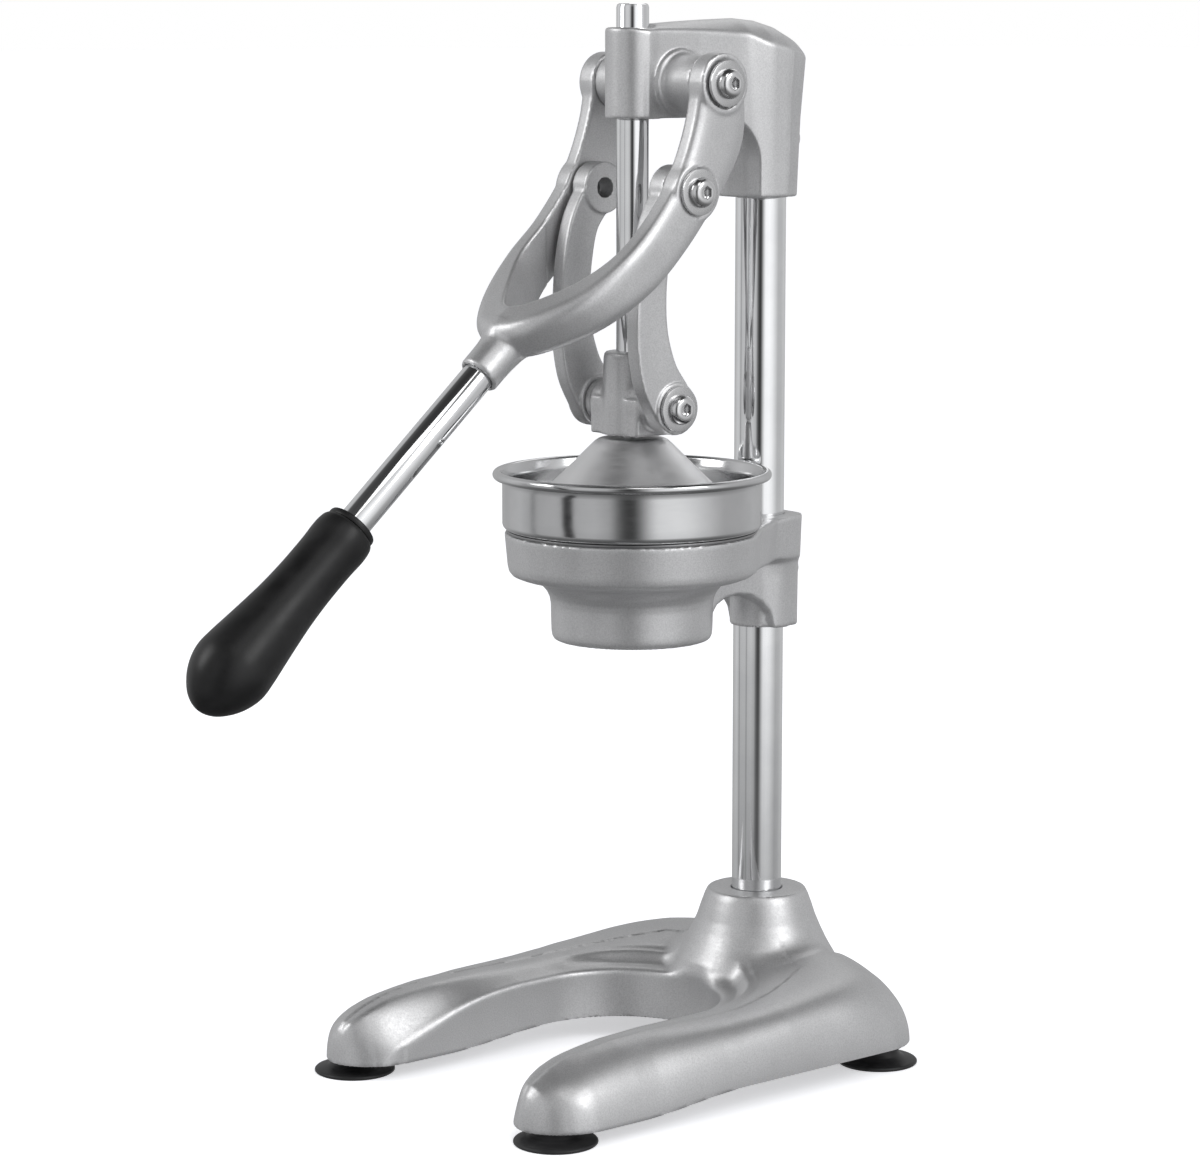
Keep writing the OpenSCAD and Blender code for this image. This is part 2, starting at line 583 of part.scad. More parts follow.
// Middle line of the curved link: y, z, share of its width
link_rows = [[link_pivot_y, link_pivot_z, 1.12], [-8, 400, 0.99], [-12.5, 383, 0.99], [-14.2, 364, 1.01],
    [-13.6, 347, 1.13], [-9.6, 331, 1.29], [-3.4, 320.5, 1.4], [0, cross_pivot_z, 1.41]];
link_n = 28;
function link_at(k) = spline(link_rows, k * (len(link_rows) - 1) / link_n);
function link_mid(k) = let (p = link_at(k)) [p[0], p[1]];
function link_dir(k) = unit(link_mid(min(link_n, k + 0.5)) - link_mid(max(0, k - 0.5)));
function link_edge(k, s) = let (d = link_dir(k), w = link_w / 2 * link_at(k)[2])
    link_mid(k) + s * w * [-d[1], d[0]];

module link_bar(s) {
    t = link_out_x - link_in_x;
    color(aluminium) on_axis() side(s) difference() {
        union() {
            translate([link_in_x + 0.8, 0, 0]) rotate([90, 0, 90]) linear_extrude(height = t - 1.6)
                polygon(concat([for (k = [0:link_n]) link_edge(k, 1)],
                    [for (k = [link_n:-1:0]) link_edge(k, -1)]));
            for (p = [[link_pivot_y, link_pivot_z], [0, cross_pivot_z]])
                along_x(link_in_x, p[0], p[1]) rotate_extrude()
                    polygon([[0, 0], [link_eye_r - 0.6, 0], [link_eye_r, 0.6], [link_eye_r, t - 0.6],
                        [link_eye_r - 0.6, t], [0, t]]);
        }
        along_x(link_in_x - 1, link_pivot_y, link_pivot_z) cylinder(r = 4.7, h = t + 2);
        along_x(link_in_x - 1, 0, cross_pivot_z) cylinder(r = cross_bush_r + fit, h = t + 2);
    }
}
module right_link() { link_bar(1); }
module left_link() { link_bar(-1); }

// ---- press ---------------------------------------------------------------

module crosshead_casting() {
    color(aluminium) on_axis() difference() {
        union() {
            translate([0, 0, cross_bottom]) rotate_extrude() let (h = cross_top - cross_bottom)
                polygon([[0, 0], [13.4, 0], [14, 0.6], [13.8, 14], [13.2, h - 1.2], [12, h], [0, h]]);
            hull() {
                translate([-15.6, -11.6, 303.2]) cube([31.2, 23.2, 14.6]);
                translate([-16.8, -10.4, 303.2]) cube([33.6, 20.8, 14.6]);
                translate([-14.6, -10.2, 302]) cube([29.2, 20.4, 18]);
            }
            for (s = [-1, 1]) side(s) along_x(10, 0, cross_pivot_z) rotate_extrude()
                polygon([[0, 0], [11.2, 0], [11.2, 6.8], [10.4, 8], [10.4, cross_x - 10.6], [9.8, cross_x - 10],
                    [0, cross_x - 10]]);
        }
        translate([0, 0, 313]) cylinder(r = guide_r, h = 40);
        translate([0, 0, cross_bottom - 1]) cylinder(r = 5, h = 10);
        for (s = [-1, 1]) side(s) along_x(8, 0, cross_pivot_z) cylinder(r = screw_r, h = 20);
    }
}

module guide_rod() {
    color(chrome) on_axis() difference() {
        translate([0, 0, 313]) rotate_extrude() let (h = guide_rod_top - 313)
            polygon([[0, 0], [guide_r, 0], [guide_r, h - 1.5], [guide_r - 1.5, h], [0, h]]);
        translate([0, 0, guide_rod_top - 5]) cylinder(r = 4 / cos(30), h = 6, $fn = 6);
    }
}

module press_hood() {
    w = hood_wall;
    color(stainless) on_axis() rotate_extrude() polygon([
        [5, 300], [14.6, 300], [16.8, 298.8], [19, 296.8], [36, 280], [40.5, 276], [43.6, 272], [45.8, 267.5],
        [hood_r - 0.4, 262.4], [hood_r - 1.2, 261.6], [hood_r - w + 0.4, 261.6],
        [45.8 - w, 267.2], [40.8, 270.8], [38, 274.2], [34, 277.8], [16.8, 294.6], [14, 296.4], [5, 296.4]]);
}
module hood_stud() {
    color(stainless) on_axis() translate([0, 0, 290.4]) cylinder(r = 5, h = 19.6);
}
module hood_nut() {
    color(stainless) on_axis() translate([0, 0, 291.4]) difference() {
        cylinder(r = 8.5 / cos(30), h = 5, $fn = 6);
        translate([0, 0, -1]) cylinder(r = 5, h = 7);
    }
}

module cross_bush(s) {
    color(stainless) on_axis() side(s) along_x(cross_x, 0, cross_pivot_z)
        rotate_extrude() let (l = link_out_x + 0.3 - cross_x)
            polygon([[screw_r, 0], [cross_bush_r, 0], [cross_bush_r, l], [flange_r, l],
                [flange_r, l + flange_t - 0.4], [flange_r - 0.4, l + flange_t], [screw_r, l + flange_t]]);
}
module right_cross_bush() { cross_bush(1); }
module left_cross_bush() { cross_bush(-1); }
module cross_screw(s) {
    color(stainless) on_axis() side(s)
        along_x(link_out_x + 0.3 + flange_t, 0, cross_pivot_z) button_screw(22);
}
module right_cross_screw() { cross_screw(1); }
module left_cross_screw() { cross_screw(-1); }

// ---- drawing ---------------------------------------------------------------

base_casting();
column_tube();
head_casting();
guide_bush();
holder_casting();
juice_funnel();
strainer_bowl();
reamer_cone();
head_set_screw();
holder_set_screw();
base_set_screw();
right_pivot_bush();
left_pivot_bush();
right_pivot_screw();
left_pivot_screw();
front_right_foot();
front_left_foot();
rear_right_foot();
rear_left_foot();
foot_screws();
yoke_casting();
handle_rod();
grip();
grip_collar();
right_link_washer();
left_link_washer();
right_link_screw();
left_link_screw();
crosshead_casting();
guide_rod();
press_hood();
hood_stud();
hood_nut();
right_cross_bush();
left_cross_bush();
right_cross_screw();
left_cross_screw();
right_link();
left_link();
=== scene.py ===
import bpy, math
import numpy as np
from mathutils import Vector, Matrix


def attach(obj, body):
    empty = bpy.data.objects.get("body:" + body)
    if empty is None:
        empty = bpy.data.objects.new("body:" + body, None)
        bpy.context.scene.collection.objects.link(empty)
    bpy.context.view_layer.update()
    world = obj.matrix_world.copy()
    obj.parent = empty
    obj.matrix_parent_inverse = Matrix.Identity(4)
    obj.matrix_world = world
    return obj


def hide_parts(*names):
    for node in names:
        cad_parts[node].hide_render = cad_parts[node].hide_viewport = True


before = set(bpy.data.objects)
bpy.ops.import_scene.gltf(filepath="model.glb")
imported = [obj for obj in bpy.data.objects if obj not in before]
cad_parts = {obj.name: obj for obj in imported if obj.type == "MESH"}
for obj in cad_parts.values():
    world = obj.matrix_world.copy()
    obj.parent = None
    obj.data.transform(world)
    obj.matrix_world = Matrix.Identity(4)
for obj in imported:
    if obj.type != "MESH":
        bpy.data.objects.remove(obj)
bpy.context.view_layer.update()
Y0 = 68.0                       # the bowl axis in the row frame, mm
RNG = np.random.default_rng(7)

# ---------------------------------------------------------------- mesh helpers

def add_mesh(name, verts_mm, faces, body, nodes, mat, sharp=38, smooth=True):
    """verts in mm with the bowl axis as origin -> a piece in the row frame."""
    v = np.asarray(verts_mm, float) * 0.001
    v[:, 1] += Y0 * 0.001
    me = bpy.data.meshes.new(name)
    if isinstance(faces, np.ndarray):
        n, k = faces.shape
        me.vertices.add(len(v)); me.vertices.foreach_set("co", v.ravel())
        me.loops.add(n * k); me.loops.foreach_set("vertex_index", faces.ravel().astype(np.int32))
        me.polygons.add(n)
        me.polygons.foreach_set("loop_start", np.arange(0, n * k, k, dtype=np.int32))
        me.polygons.foreach_set("loop_total", np.full(n, k, dtype=np.int32))
        me.update(calc_edges=True)
    else:
        me.from_pydata([tuple(p) for p in v], [], [tuple(int(i) for i in f) for f in faces])
    me.validate(verbose=False)
    me.update()
    me.shade_smooth()
    if sharp:
        me.set_sharp_from_angle(angle=math.radians(sharp))
    o = bpy.data.objects.new(name, me)
    bpy.context.scene.collection.objects.link(o)
    o.data.materials.append(mat)
    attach(o, body)
    if nodes:
        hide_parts(*nodes)
    return o


def frame_m(origin, z, x=None):
    """4x4 with local +Z along z."""
    z = np.asarray(z, float) / np.linalg.norm(z)
    x = np.asarray(x if x is not None else ((1, 0, 0) if abs(z[0]) < 0.9 else (0, 1, 0)), float)
    y = np.cross(z, x); y /= np.linalg.norm(y)
    x = np.cross(y, z)
    m = np.eye(4); m[:3, 0], m[:3, 1], m[:3, 2], m[:3, 3] = x, y, z, origin
    return m


def chamfered(profile, r=0.35, steps=2):
    """Rounds every corner of an (r, z) outline a little."""
    P = [np.array(p, float) for p in profile]
    n = len(P); out = []
    for i, p in enumerate(P):
        a, b = P[i - 1], P[(i + 1) % n]
        la, lb = np.linalg.norm(a - p), np.linalg.norm(b - p)
        if la < 1e-6 or lb < 1e-6 or (p[0] <= 1e-6):
            out.append(p); continue
        ua, ub = (a - p) / la, (b - p) / lb
        if ua @ ub < -0.97:
            out.append(p); continue
        t = min(r, la * 0.4, lb * 0.4)
        for k in range(steps + 1):
            s = k / steps
            q0, q1 = p + ua * t * (1 - s), p + ub * t * s
            out.append(q0 * (1 - s) + q1 * s)
    return out


def hex_r(theta, across):
    a = (theta + math.pi / 6) % (math.pi / 3) - math.pi / 6
    return across / 2 / np.cos(a)


def lathe(profile, segs=96, m=None, hexes=(), rfun=None):
    """Revolves an (r, z) outline. hexes: indices whose ring is a hexagon of that across-flats size (2 r)."""
    m = np.eye(4) if m is None else m
    th = np.arange(segs) * 2 * math.pi / segs
    V, rings = [], []
    for i, (r, z) in enumerate(profile):
        if r < 1e-6:
            rings.append((len(V), 1)); V.append((0, 0, z)); continue
        rr = hex_r(th, 2 * r) if i in hexes else np.full(segs, r)
        if rfun is not None:
            rr = rfun(i, rr, th, z)
        rings.append((len(V), segs))
        V += [(a * math.cos(t), a * math.sin(t), z) for a, t in zip(rr, th)]
    F = []
    n = len(profile)
    for i in range(n):
        (a, na), (b, nb) = rings[i], rings[(i + 1) % n]
        if i == n - 1 and na == 1 and nb == 1:
            continue
        if na == 1 and nb == 1:
            continue
        for k in range(segs):
            k2 = (k + 1) % segs
            if na == 1:
                F.append((a, b + k, b + k2))
            elif nb == 1:
                F.append((a + k, b, a + k2))
            else:
                F.append((a + k, b + k, b + k2, a + k2))
    V = np.array(V) @ m[:3, :3].T + m[:3, 3]
    return V, F


def spline(tab, n):
    """Catmull-Rom samples through the rows of a table."""
    tab = np.asarray(tab, float); L = len(tab)
    out = []
    for t in np.linspace(0, L - 1, n):
        i = min(int(t), L - 2); f = t - i
        a, b, c, d = tab[max(i - 1, 0)], tab[i], tab[i + 1], tab[min(i + 2, L - 1)]
        out.append(0.5 * (2 * b + (c - a) * f + (2 * a - 5 * b + 4 * c - d) * f * f + (3 * b - 3 * c + d - a) * f ** 3))
    return np.array(out)

# ---------------------------------------------------------------- signed fields

def smin(a, b, k):
    h = np.clip(0.5 + 0.5 * (b - a) / k, 0, 1)
    return b * (1 - h) + a * h - k * h * (1 - h)

def smax(a, b, k):
    return -smin(-a, -b, k)

def box2(x, y, hx, hy, r=0.0):
    qx, qy = np.abs(x) - hx + r, np.abs(y) - hy + r
    return np.hypot(np.maximum(qx, 0), np.maximum(qy, 0)) + np.minimum(np.maximum(qx, qy), 0) - r

def rod_z(x, y, z, R, z0, z1, r=0.8):
    return box2(np.hypot(x, y), z - (z0 + z1) / 2, R, (z1 - z0) / 2, r)

def rod_x(x, y, z, R, x0, x1, r=0.8):
    return box2(np.hypot(y, z), x - (x0 + x1) / 2, R, (x1 - x0) / 2, r)

def poly_sd(px, py, pts):
    """Signed distance to a closed polygon, negative inside."""
    pts = np.asarray(pts, float)
    d = np.full(px.shape, 1e9); s = np.ones(px.shape)
    n = len(pts)
    for i in range(n):
        ax, ay = pts[i]; bx, by = pts[i - 1]
        ex, ey = bx - ax, by - ay
        wx, wy = px - ax, py - ay
        t = np.clip((wx * ex + wy * ey) / (ex * ex + ey * ey + 1e-12), 0, 1)
        d = np.minimum(d, (wx - ex * t) ** 2 + (wy - ey * t) ** 2)
        c1, c2, c3 = py >= ay, py < by, ex * wy > ey * wx
        flip = (c1 & c2 & c3) | (~c1 & ~c2 & ~c3)
        s = np.where(flip, -s, s)
    return s * np.sqrt(d)

def rev_sd(x, y, z, pts, cx=0.0, cy=0.0):
    return poly_sd(np.hypot(x - cx, y - cy), z, pts)

def mesh_field(f, lo, hi, h, name=""):
    """Surface nets on a grid, then each vertex is moved onto the field's zero."""
    lo = np.asarray(lo, float); hi = np.asarray(hi, float)
    n = np.ceil((hi - lo) / h).astype(int) + 1
    ax = [lo[i] + h * np.arange(n[i]) for i in range(3)]
    V = np.empty(n, np.float32)
    step = max(1, int(1.5e6 // (n[1] * n[2])))
    Yg, Zg = np.meshgrid(ax[1], ax[2], indexing="ij")
    for i in range(0, n[0], step):
        X = ax[0][i:i + step][:, None, None] + 0 * Yg[None]
        V[i:i + step] = f(X, Yg[None] + 0 * X, Zg[None] + 0 * X)
    S = V < 0
    c = [S[a:n[0] - 1 + a, b:n[1] - 1 + b, d:n[2] - 1 + d] for a in (0, 1) for b in (0, 1) for d in (0, 1)]
    cnt = sum(q.astype(np.int8) for q in c)
    act = (cnt > 0) & (cnt < 8)
    idx = -np.ones(act.shape, np.int64)
    I = np.argwhere(act); idx[act] = np.arange(len(I))
    acc = np.zeros((len(I), 3)); num = np.zeros(len(I))
    cor = [(a, b, d) for a in (0, 1) for b in (0, 1) for d in (0, 1)]
    for p in range(8):
        for q in range(p + 1, 8):
            df = [cor[q][k] - cor[p][k] for k in range(3)]
            if sum(map(abs, df)) != 1:
                continue
            A = V[I[:, 0] + cor[p][0], I[:, 1] + cor[p][1], I[:, 2] + cor[p][2]]
            B = V[I[:, 0] + cor[q][0], I[:, 1] + cor[q][1], I[:, 2] + cor[q][2]]
            m = (A < 0) != (B < 0)
            t = np.where(m, A / np.where(m, A - B, 1), 0)
            for k in range(3):
                acc[:, k] += np.where(m, cor[p][k] + t * df[k], 0)
            num += m
    P = lo + h * (I + acc / num[:, None])
    F = []
    for a in range(3):
        b, d = (a + 1) % 3, (a + 2) % 3
        sl0 = [slice(None)] * 3; sl1 = [slice(None)] * 3
        sl0[a] = slice(0, n[a] - 1); sl1[a] = slice(1, n[a])
        for k in (b, d):
            sl0[k] = slice(1, n[k] - 1); sl1[k] = slice(1, n[k] - 1)
        s0, s1 = S[tuple(sl0)], S[tuple(sl1)]
        for m, rev in ((s0 & ~s1, False), (~s0 & s1, True)):
            E = np.argwhere(m)
            if not len(E):
                continue
            off = np.zeros(3, int); off[b] += 1; off[d] += 1
            E = E + off
            db = np.zeros(3, int); db[b] = 1
            dd = np.zeros(3, int); dd[d] = 1
            g = lambda e: idx[e[:, 0], e[:, 1], e[:, 2]]
            q = np.stack([g(E - db - dd), g(E - dd), g(E), g(E - db)], 1)
            F.append(q[:, ::-1] if rev else q)
    F = np.concatenate(F)
    e = 0.05
    for _ in range(3):
        x, y, z = P[:, 0], P[:, 1], P[:, 2]
        v0 = f(x, y, z)
        g = np.stack([f(x + e, y, z) - f(x - e, y, z), f(x, y + e, z) - f(x, y - e, z), f(x, y, z + e) - f(x, y, z - e)], 1) / (2 * e)
        s = -v0 / np.maximum((g ** 2).sum(1), 0.05)
        mv = g * s[:, None]
        l = np.linalg.norm(mv, axis=1)
        P = P + mv * np.minimum(1, 0.6 * h / np.maximum(l, 1e-9))[:, None]
    return P, F

# ---------------------------------------------------------------- materials

def new_mat(name):
    m = bpy.data.materials.new(name); m.use_nodes = True
    nt = m.node_tree; nt.nodes.clear()
    out = nt.nodes.new("ShaderNodeOutputMaterial"); b = nt.nodes.new("ShaderNodeBsdfPrincipled")
    nt.links.new(b.outputs[0], out.inputs[0])
    return m, nt, b

def coords(nt):
    t = nt.nodes.new("ShaderNodeTexCoord")
    return t.outputs["Object"]

def noise(nt, vec, scale, detail=3, rough=0.55):
    n = nt.nodes.new("ShaderNodeTexNoise"); n.inputs["Scale"].default_value = scale
    n.inputs["Detail"].default_value = detail; n.inputs["Roughness"].default_value = rough
    nt.links.new(vec, n.inputs["Vector"]); return n.outputs["Fac"]

def ramp(nt, val, lo, hi, a, b):
    r = nt.nodes.new("ShaderNodeMapRange")
    r.inputs["From Min"].default_value, r.inputs["From Max"].default_value = lo, hi
    r.inputs["To Min"].default_value, r.inputs["To Max"].default_value = a, b
    nt.links.new(val, r.inputs["Value"]); return r.outputs[0]

def math_n(nt, op, a, b):
    n = nt.nodes.new("ShaderNodeMath"); n.operation = op
    for k, v in enumerate((a, b)):
        if hasattr(v, "is_linked"):
            nt.links.new(v, n.inputs[k])
        else:
            n.inputs[k].default_value = v
    return n.outputs[0]

def mixc(nt, fac, a, b):
    n = nt.nodes.new("ShaderNodeMix"); n.data_type = "RGBA"
    if hasattr(fac, "is_linked"):
        nt.links.new(fac, n.inputs[0])
    else:
        n.inputs[0].default_value = fac
    for k, v in ((6, a), (7, b)):
        if hasattr(v, "is_linked"):
            nt.links.new(v, n.inputs[k])
        else:
            n.inputs[k].default_value = (*v, 1)
    return n.outputs[2]

def bump(nt, b, height, dist, strength=1.0):
    n = nt.nodes.new("ShaderNodeBump"); n.inputs["Distance"].default_value = dist
    n.inputs["Strength"].default_value = strength
    nt.links.new(height, n.inputs["Height"]); nt.links.new(n.outputs[0], b.inputs["Normal"])

def edge_highlight(nt, lo=0.52, hi=0.60):
    """1 on convex edges, 0 elsewhere: the mask of a painted edge highlight."""
    g = nt.nodes.new("ShaderNodeNewGeometry")
    return ramp(nt, g.outputs["Pointiness"], lo, hi, 0, 1)

def mat_cast():
    m, nt, b = new_mat("blasted_casting")
    c = coords(nt)
    mott = noise(nt, c, 28, 3)
    grain = noise(nt, c, 1500, 2, 0.6)
    fine = noise(nt, c, 520, 3, 0.6)
    col = mixc(nt, ramp(nt, mott, 0.3, 0.7, 0, 1), (0.60, 0.60, 0.605), (0.665, 0.665, 0.67))
    col = mixc(nt, ramp(nt, grain, 0.35, 0.7, 0, 0.45), col, (0.38, 0.38, 0.385))
    # convex edges lightened towards 0.80: a painted highlight along the edges
    col = mixc(nt, math_n(nt, "MULTIPLY", edge_highlight(nt), 0.35), col, (0.80, 0.80, 0.80))
    nt.links.new(col, b.inputs["Base Color"])
    b.inputs["Metallic"].default_value = 0.86
    r = math_n(nt, "ADD", ramp(nt, fine, 0.3, 0.7, 0.37, 0.44), ramp(nt, mott, 0.3, 0.7, -0.02, 0.03))
    nt.links.new(r, b.inputs["Roughness"])
    h = math_n(nt, "ADD", math_n(nt, "MULTIPLY", grain, 0.55), math_n(nt, "MULTIPLY", fine, 0.8))
    bump(nt, b, h, 0.00009, 0.55)
    b.inputs["Coat Weight"].default_value = 0.0
    b.inputs["Coat Roughness"].default_value = 0.3
    return m

def mat_chrome():
    m, nt, b = new_mat("bright_chrome")
    c = coords(nt)
    sm = noise(nt, c, 60, 3); fine = noise(nt, c, 900, 2)
    col = mixc(nt, ramp(nt, sm, 0.35, 0.7, 0, 1), (0.80, 0.805, 0.815), (0.86, 0.865, 0.87))
    nt.links.new(col, b.inputs["Base Color"])
    b.inputs["Metallic"].default_value = 1.0
    nt.links.new(ramp(nt, sm, 0.3, 0.75, 0.05, 0.10), b.inputs["Roughness"])
    bump(nt, b, sm, 0.000006, 0.10)
    return m

def mat_stainless(name, lo=0.13, hi=0.22, col0=(0.66, 0.665, 0.675), col1=(0.73, 0.735, 0.74), lines=2600, depth=0.00002, axis=(1, 1, 1)):
    """Sheet with fine turning marks: noise stretched thin along one direction."""
    m, nt, b = new_mat(name)
    c = coords(nt)
    mp = nt.nodes.new("ShaderNodeMapping"); mp.inputs["Scale"].default_value = axis
    nt.links.new(c, mp.inputs["Vector"])
    ln = noise(nt, mp.outputs[0], lines, 2, 0.5)
    sm = noise(nt, c, 45, 3)
    col = mixc(nt, ramp(nt, sm, 0.3, 0.7, 0, 1), col0, col1)
    nt.links.new(col, b.inputs["Base Color"])
    b.inputs["Metallic"].default_value = 1.0
    r = math_n(nt, "ADD", ramp(nt, ln, 0.3, 0.7, lo, hi), ramp(nt, sm, 0.3, 0.7, 0, 0.03))
    nt.links.new(r, b.inputs["Roughness"])
    bump(nt, b, ln, depth, 0.6)
    return m

def mat_rubber(name, col, rough, grain_d=0.00003, sheen=0.0):
    m, nt, b = new_mat(name)
    c = coords(nt)
    g = noise(nt, c, 1800, 2, 0.6); s = noise(nt, c, 70, 4)
    cc = mixc(nt, ramp(nt, s, 0.35, 0.7, 0, 1), col, tuple(x * 1.5 + 0.004 for x in col))
    nt.links.new(cc, b.inputs["Base Color"])
    nt.links.new(ramp(nt, s, 0.3, 0.7, rough - 0.04, rough + 0.06), b.inputs["Roughness"])
    b.inputs["Specular IOR Level"].default_value = 0.36
    b.inputs["Sheen Weight"].default_value = sheen
    bump(nt, b, g, grain_d, 0.5)
    return m

M_CAST = mat_cast()
M_CHROME = mat_chrome()
M_BOWL = mat_stainless("polished_sheet", 0.12, 0.18, (0.58, 0.585, 0.59), (0.64, 0.64, 0.645), 2000, 0.000004, (0.05, 0.05, 1.0))
M_HOOD = mat_stainless("spun_hood", 0.36, 0.44, (0.78, 0.78, 0.785), (0.85, 0.85, 0.855), 1800, 0.00001, (0.08, 0.08, 1.0))
# the funnel's sheet is coloured dark so the gap under the bowl reads as a dark line: painted shade
M_FUNNEL_PAINTED_SHADE = mat_stainless("funnel_painted_shade", 0.34, 0.42, (0.26, 0.26, 0.265), (0.33, 0.33, 0.335), 1500, 0.000004)
M_HARD = mat_stainless("bright_hardware", 0.11, 0.16, (0.68, 0.68, 0.685), (0.74, 0.74, 0.745), 900, 0.000002)
M_BUSH = mat_stainless("ground_steel", 0.24, 0.30, (0.58, 0.58, 0.585), (0.64, 0.64, 0.645), 900, 0.000002)
M_GRIP = mat_rubber("grip_rubber", (0.0035, 0.0035, 0.0037), 0.38, 0.00002, 0.0)
M_FOOT = mat_rubber("foot_rubber", (0.012, 0.012, 0.0125), 0.42, 0.00003)

H = 1.15      # grid step of the castings, mm

# ---------------------------------------------------------------- base casting

BW, BAY, TIP, REAR, EDGE = 93.5, 48.0, 124.0, 109.0, 10.0
LM, LH, TL = (BW + BAY) / 2, (BW - BAY) / 2, 26.0

def low_z(y):
    a = np.minimum(90, np.maximum(0, (-10 - y) * 1.4))
    return EDGE + 1 - 4 * np.sin(np.radians(a)) ** 2 * (y < -10)

CU = 0.36                       # where the crown lies between the bay's edge and the outer edge

def base_g(x, y, z):
    """Crowned horseshoe as an implicit surface: a slope up from the bay's edge, then a full round side."""
    x = np.abs(x)
    yt = np.clip((y + TIP) / TL, 0, 1)
    sa = np.sqrt(np.maximum(1 - (1 - yt) ** 2, 1e-4))
    # legs: across in x; behind y=-8: outward from the bay's middle
    R = 27.0
    qx, qy = x - (BW - R), y - (REAR - R)
    do1 = R - np.hypot(np.maximum(qx, 0), np.maximum(qy, 0)) - np.minimum(np.maximum(qx, qy), 0)
    xi, xo = LM - LH * sa, LM + LH * sa
    di = np.where(y < -8, x - np.where(y < -TIP + TL, xi, BAY), np.hypot(x, y + 8) - BAY)
    do = np.where(y < -TIP + TL, xo - x, do1)
    w = np.maximum(di + do, 0.5)
    u = np.clip(di / w, -0.2, 1.3)
    H0 = np.interp(y, [-98, -92, -84, -72, -48, -24, -8, 10, 30, 60, 80, 100, 110], [35.6, 36.8, 38.0, 39.3, 40.0, 39.7, 39.6, 40.3, 42, 45.5, 48.5, 51, 51.5])
    H0 = np.where(y < -TIP + TL, np.interp(y, [-124, -123.4, -121, -117.8, -112, -106.4, -98], [12, 19.5, 23.8, 27.2, 30.6, 33.0, 35.6]), H0)
    cr = np.interp(y, [-124, -112, -102, -90, -78, -69, -60, -51, -42, -29, -8], [8.6, 11, 14.4, 19, 23.6, 27, 29.6, 31.6, 32.9, 34, 34.2])
    z0 = low_z(y)
    cr = np.minimum(cr, H0 - 1)
    side = np.interp(y, [-124, -60, -20, 20, 109], [2.3, 2.5, 3.6, 4.8, 4.8])
    c = np.clip((np.minimum(qx, qy) + 30) / 42, 0, 1); c = c * c * (3 - 2 * c)
    back = np.clip((y - 55) / 40, 0, 1) * np.clip((46 - x) / 30, 0, 1)
    m = np.maximum(c, back)
    p = side * (1 - m) + 2.5 * m
    q = 2.0 + 0.5 * (1 - m) * np.clip((y + 20) / 40, 0, 1)
    e1 = np.maximum((u - CU) / (1 - CU), 0)
    e2 = np.maximum(z - z0, 0) / (H0 - z0)
    G = (e1 ** p + e2 ** q + 1e-9) ** (1 / (0.5 * (p + q))) - 1
    f_out = G * np.minimum(H0 - z0, w * (1 - CU)) * 0.85
    # slope up from the crisp edge of the bay; behind, a shallow channel and a fine double bead follow it round
    v = np.clip(u / CU, 0, 1)
    rise = 0.55 * np.sin(v * np.pi / 2) + 0.45 * v * v * (3 - 2 * v)
    top_in = cr + (H0 - cr) * rise
    fade = np.clip((y - 2) / 24, 0, 1)
    top_in = top_in + fade * (0.80 * np.exp(-((di - 13.4) / 1.9) ** 2) + 0.55 * np.exp(-((di - 18.2) / 2.0) ** 2) - 1.6 * np.exp(-((di - 8.2) / 3.4) ** 2))
    slope = (H0 - cr) / np.maximum(w * CU, 4) * 1.25
    f_in = (z - top_in) / np.sqrt(1 + slope ** 2)
    f_in = np.where(u > CU + 0.1, -30, f_in)
    g = smax(f_out, f_in, 1.6)
    tip = np.hypot(x - LM, (y + TIP - TL) * LH / TL) - LH
    soft = 0.4 + 4.6 * np.clip((-TIP + TL - y) / 14, 0, 1)
    return np.where(y < -TIP + TL + 4, smax(g, np.where(y < -TIP + TL, tip, -9), soft), g), di, do

def f_base_body(x, y, z):
    body, di, do = base_g(x, y, z)
    hub = rev_sd(x, y, z, [(0, 20), (42, 20), (41, 36), (39.2, 41.5), (36.8, 45.6), (34, 49.8), (31.2, 55), (28.8, 60.5), (27, 66),
                           (25.2, 71), (24, 73.4), (23.3, 74.15), (22.6, 74.3), (0, 74.3)], 0, 80)
    hub = smax(hub, y - (REAR - 1.2), 5)
    body = smin(body, hub, 6)
    body = smax(body, y - REAR - 1.0, 2)
    body = smax(body, np.abs(x) - BW - 0.2, 0.6)
    wall = np.where(y < -8, BAY - np.abs(x), BAY - np.hypot(x, y + 8))
    return smax(body, wall, 2.0)

def f_base(x, y, z):
    B = f_base_body(x, y, z)
    out = smax(B, low_z(y) - z, 0.8)
    inner = B + 5.0
    for px, py in ((75, -108), (73.5, 91.5)):
        inner = np.maximum(inner, 10 - np.hypot(np.abs(x) - px, y - py))
    inner = np.maximum(inner, 18 - np.hypot(x, y - 80))
    out = smax(out, -inner, 1.0)
    # seats of the feet, column bore, rear screw seat
    for px, py in ((75, -108), (73.5, 91.5)):
        out = np.maximum(out, np.minimum(11 - np.hypot(np.abs(x) - px, y - py), 10 - z) if False else -np.maximum(np.hypot(np.abs(x) - px, y - py) - 11, z - 10))
    out = smax(out, -np.maximum(np.hypot(x, y - 80) - 12.35, 40 - z), 0.6)
    out = np.maximum(out, -np.maximum(np.hypot(x, y - 80) - 9, z - 41))
    out = smax(out, -np.maximum(np.hypot(x, z - 63) - 7.6, 105.5 - y), 0.4)
    return out

P, F = mesh_field(f_base, (-97, -128, 4), (97, 113, 78), H)
add_mesh("base_casting_visual", P, F, "stand", ["base_casting"], M_CAST)

# ---------------------------------------------------------------- head casting

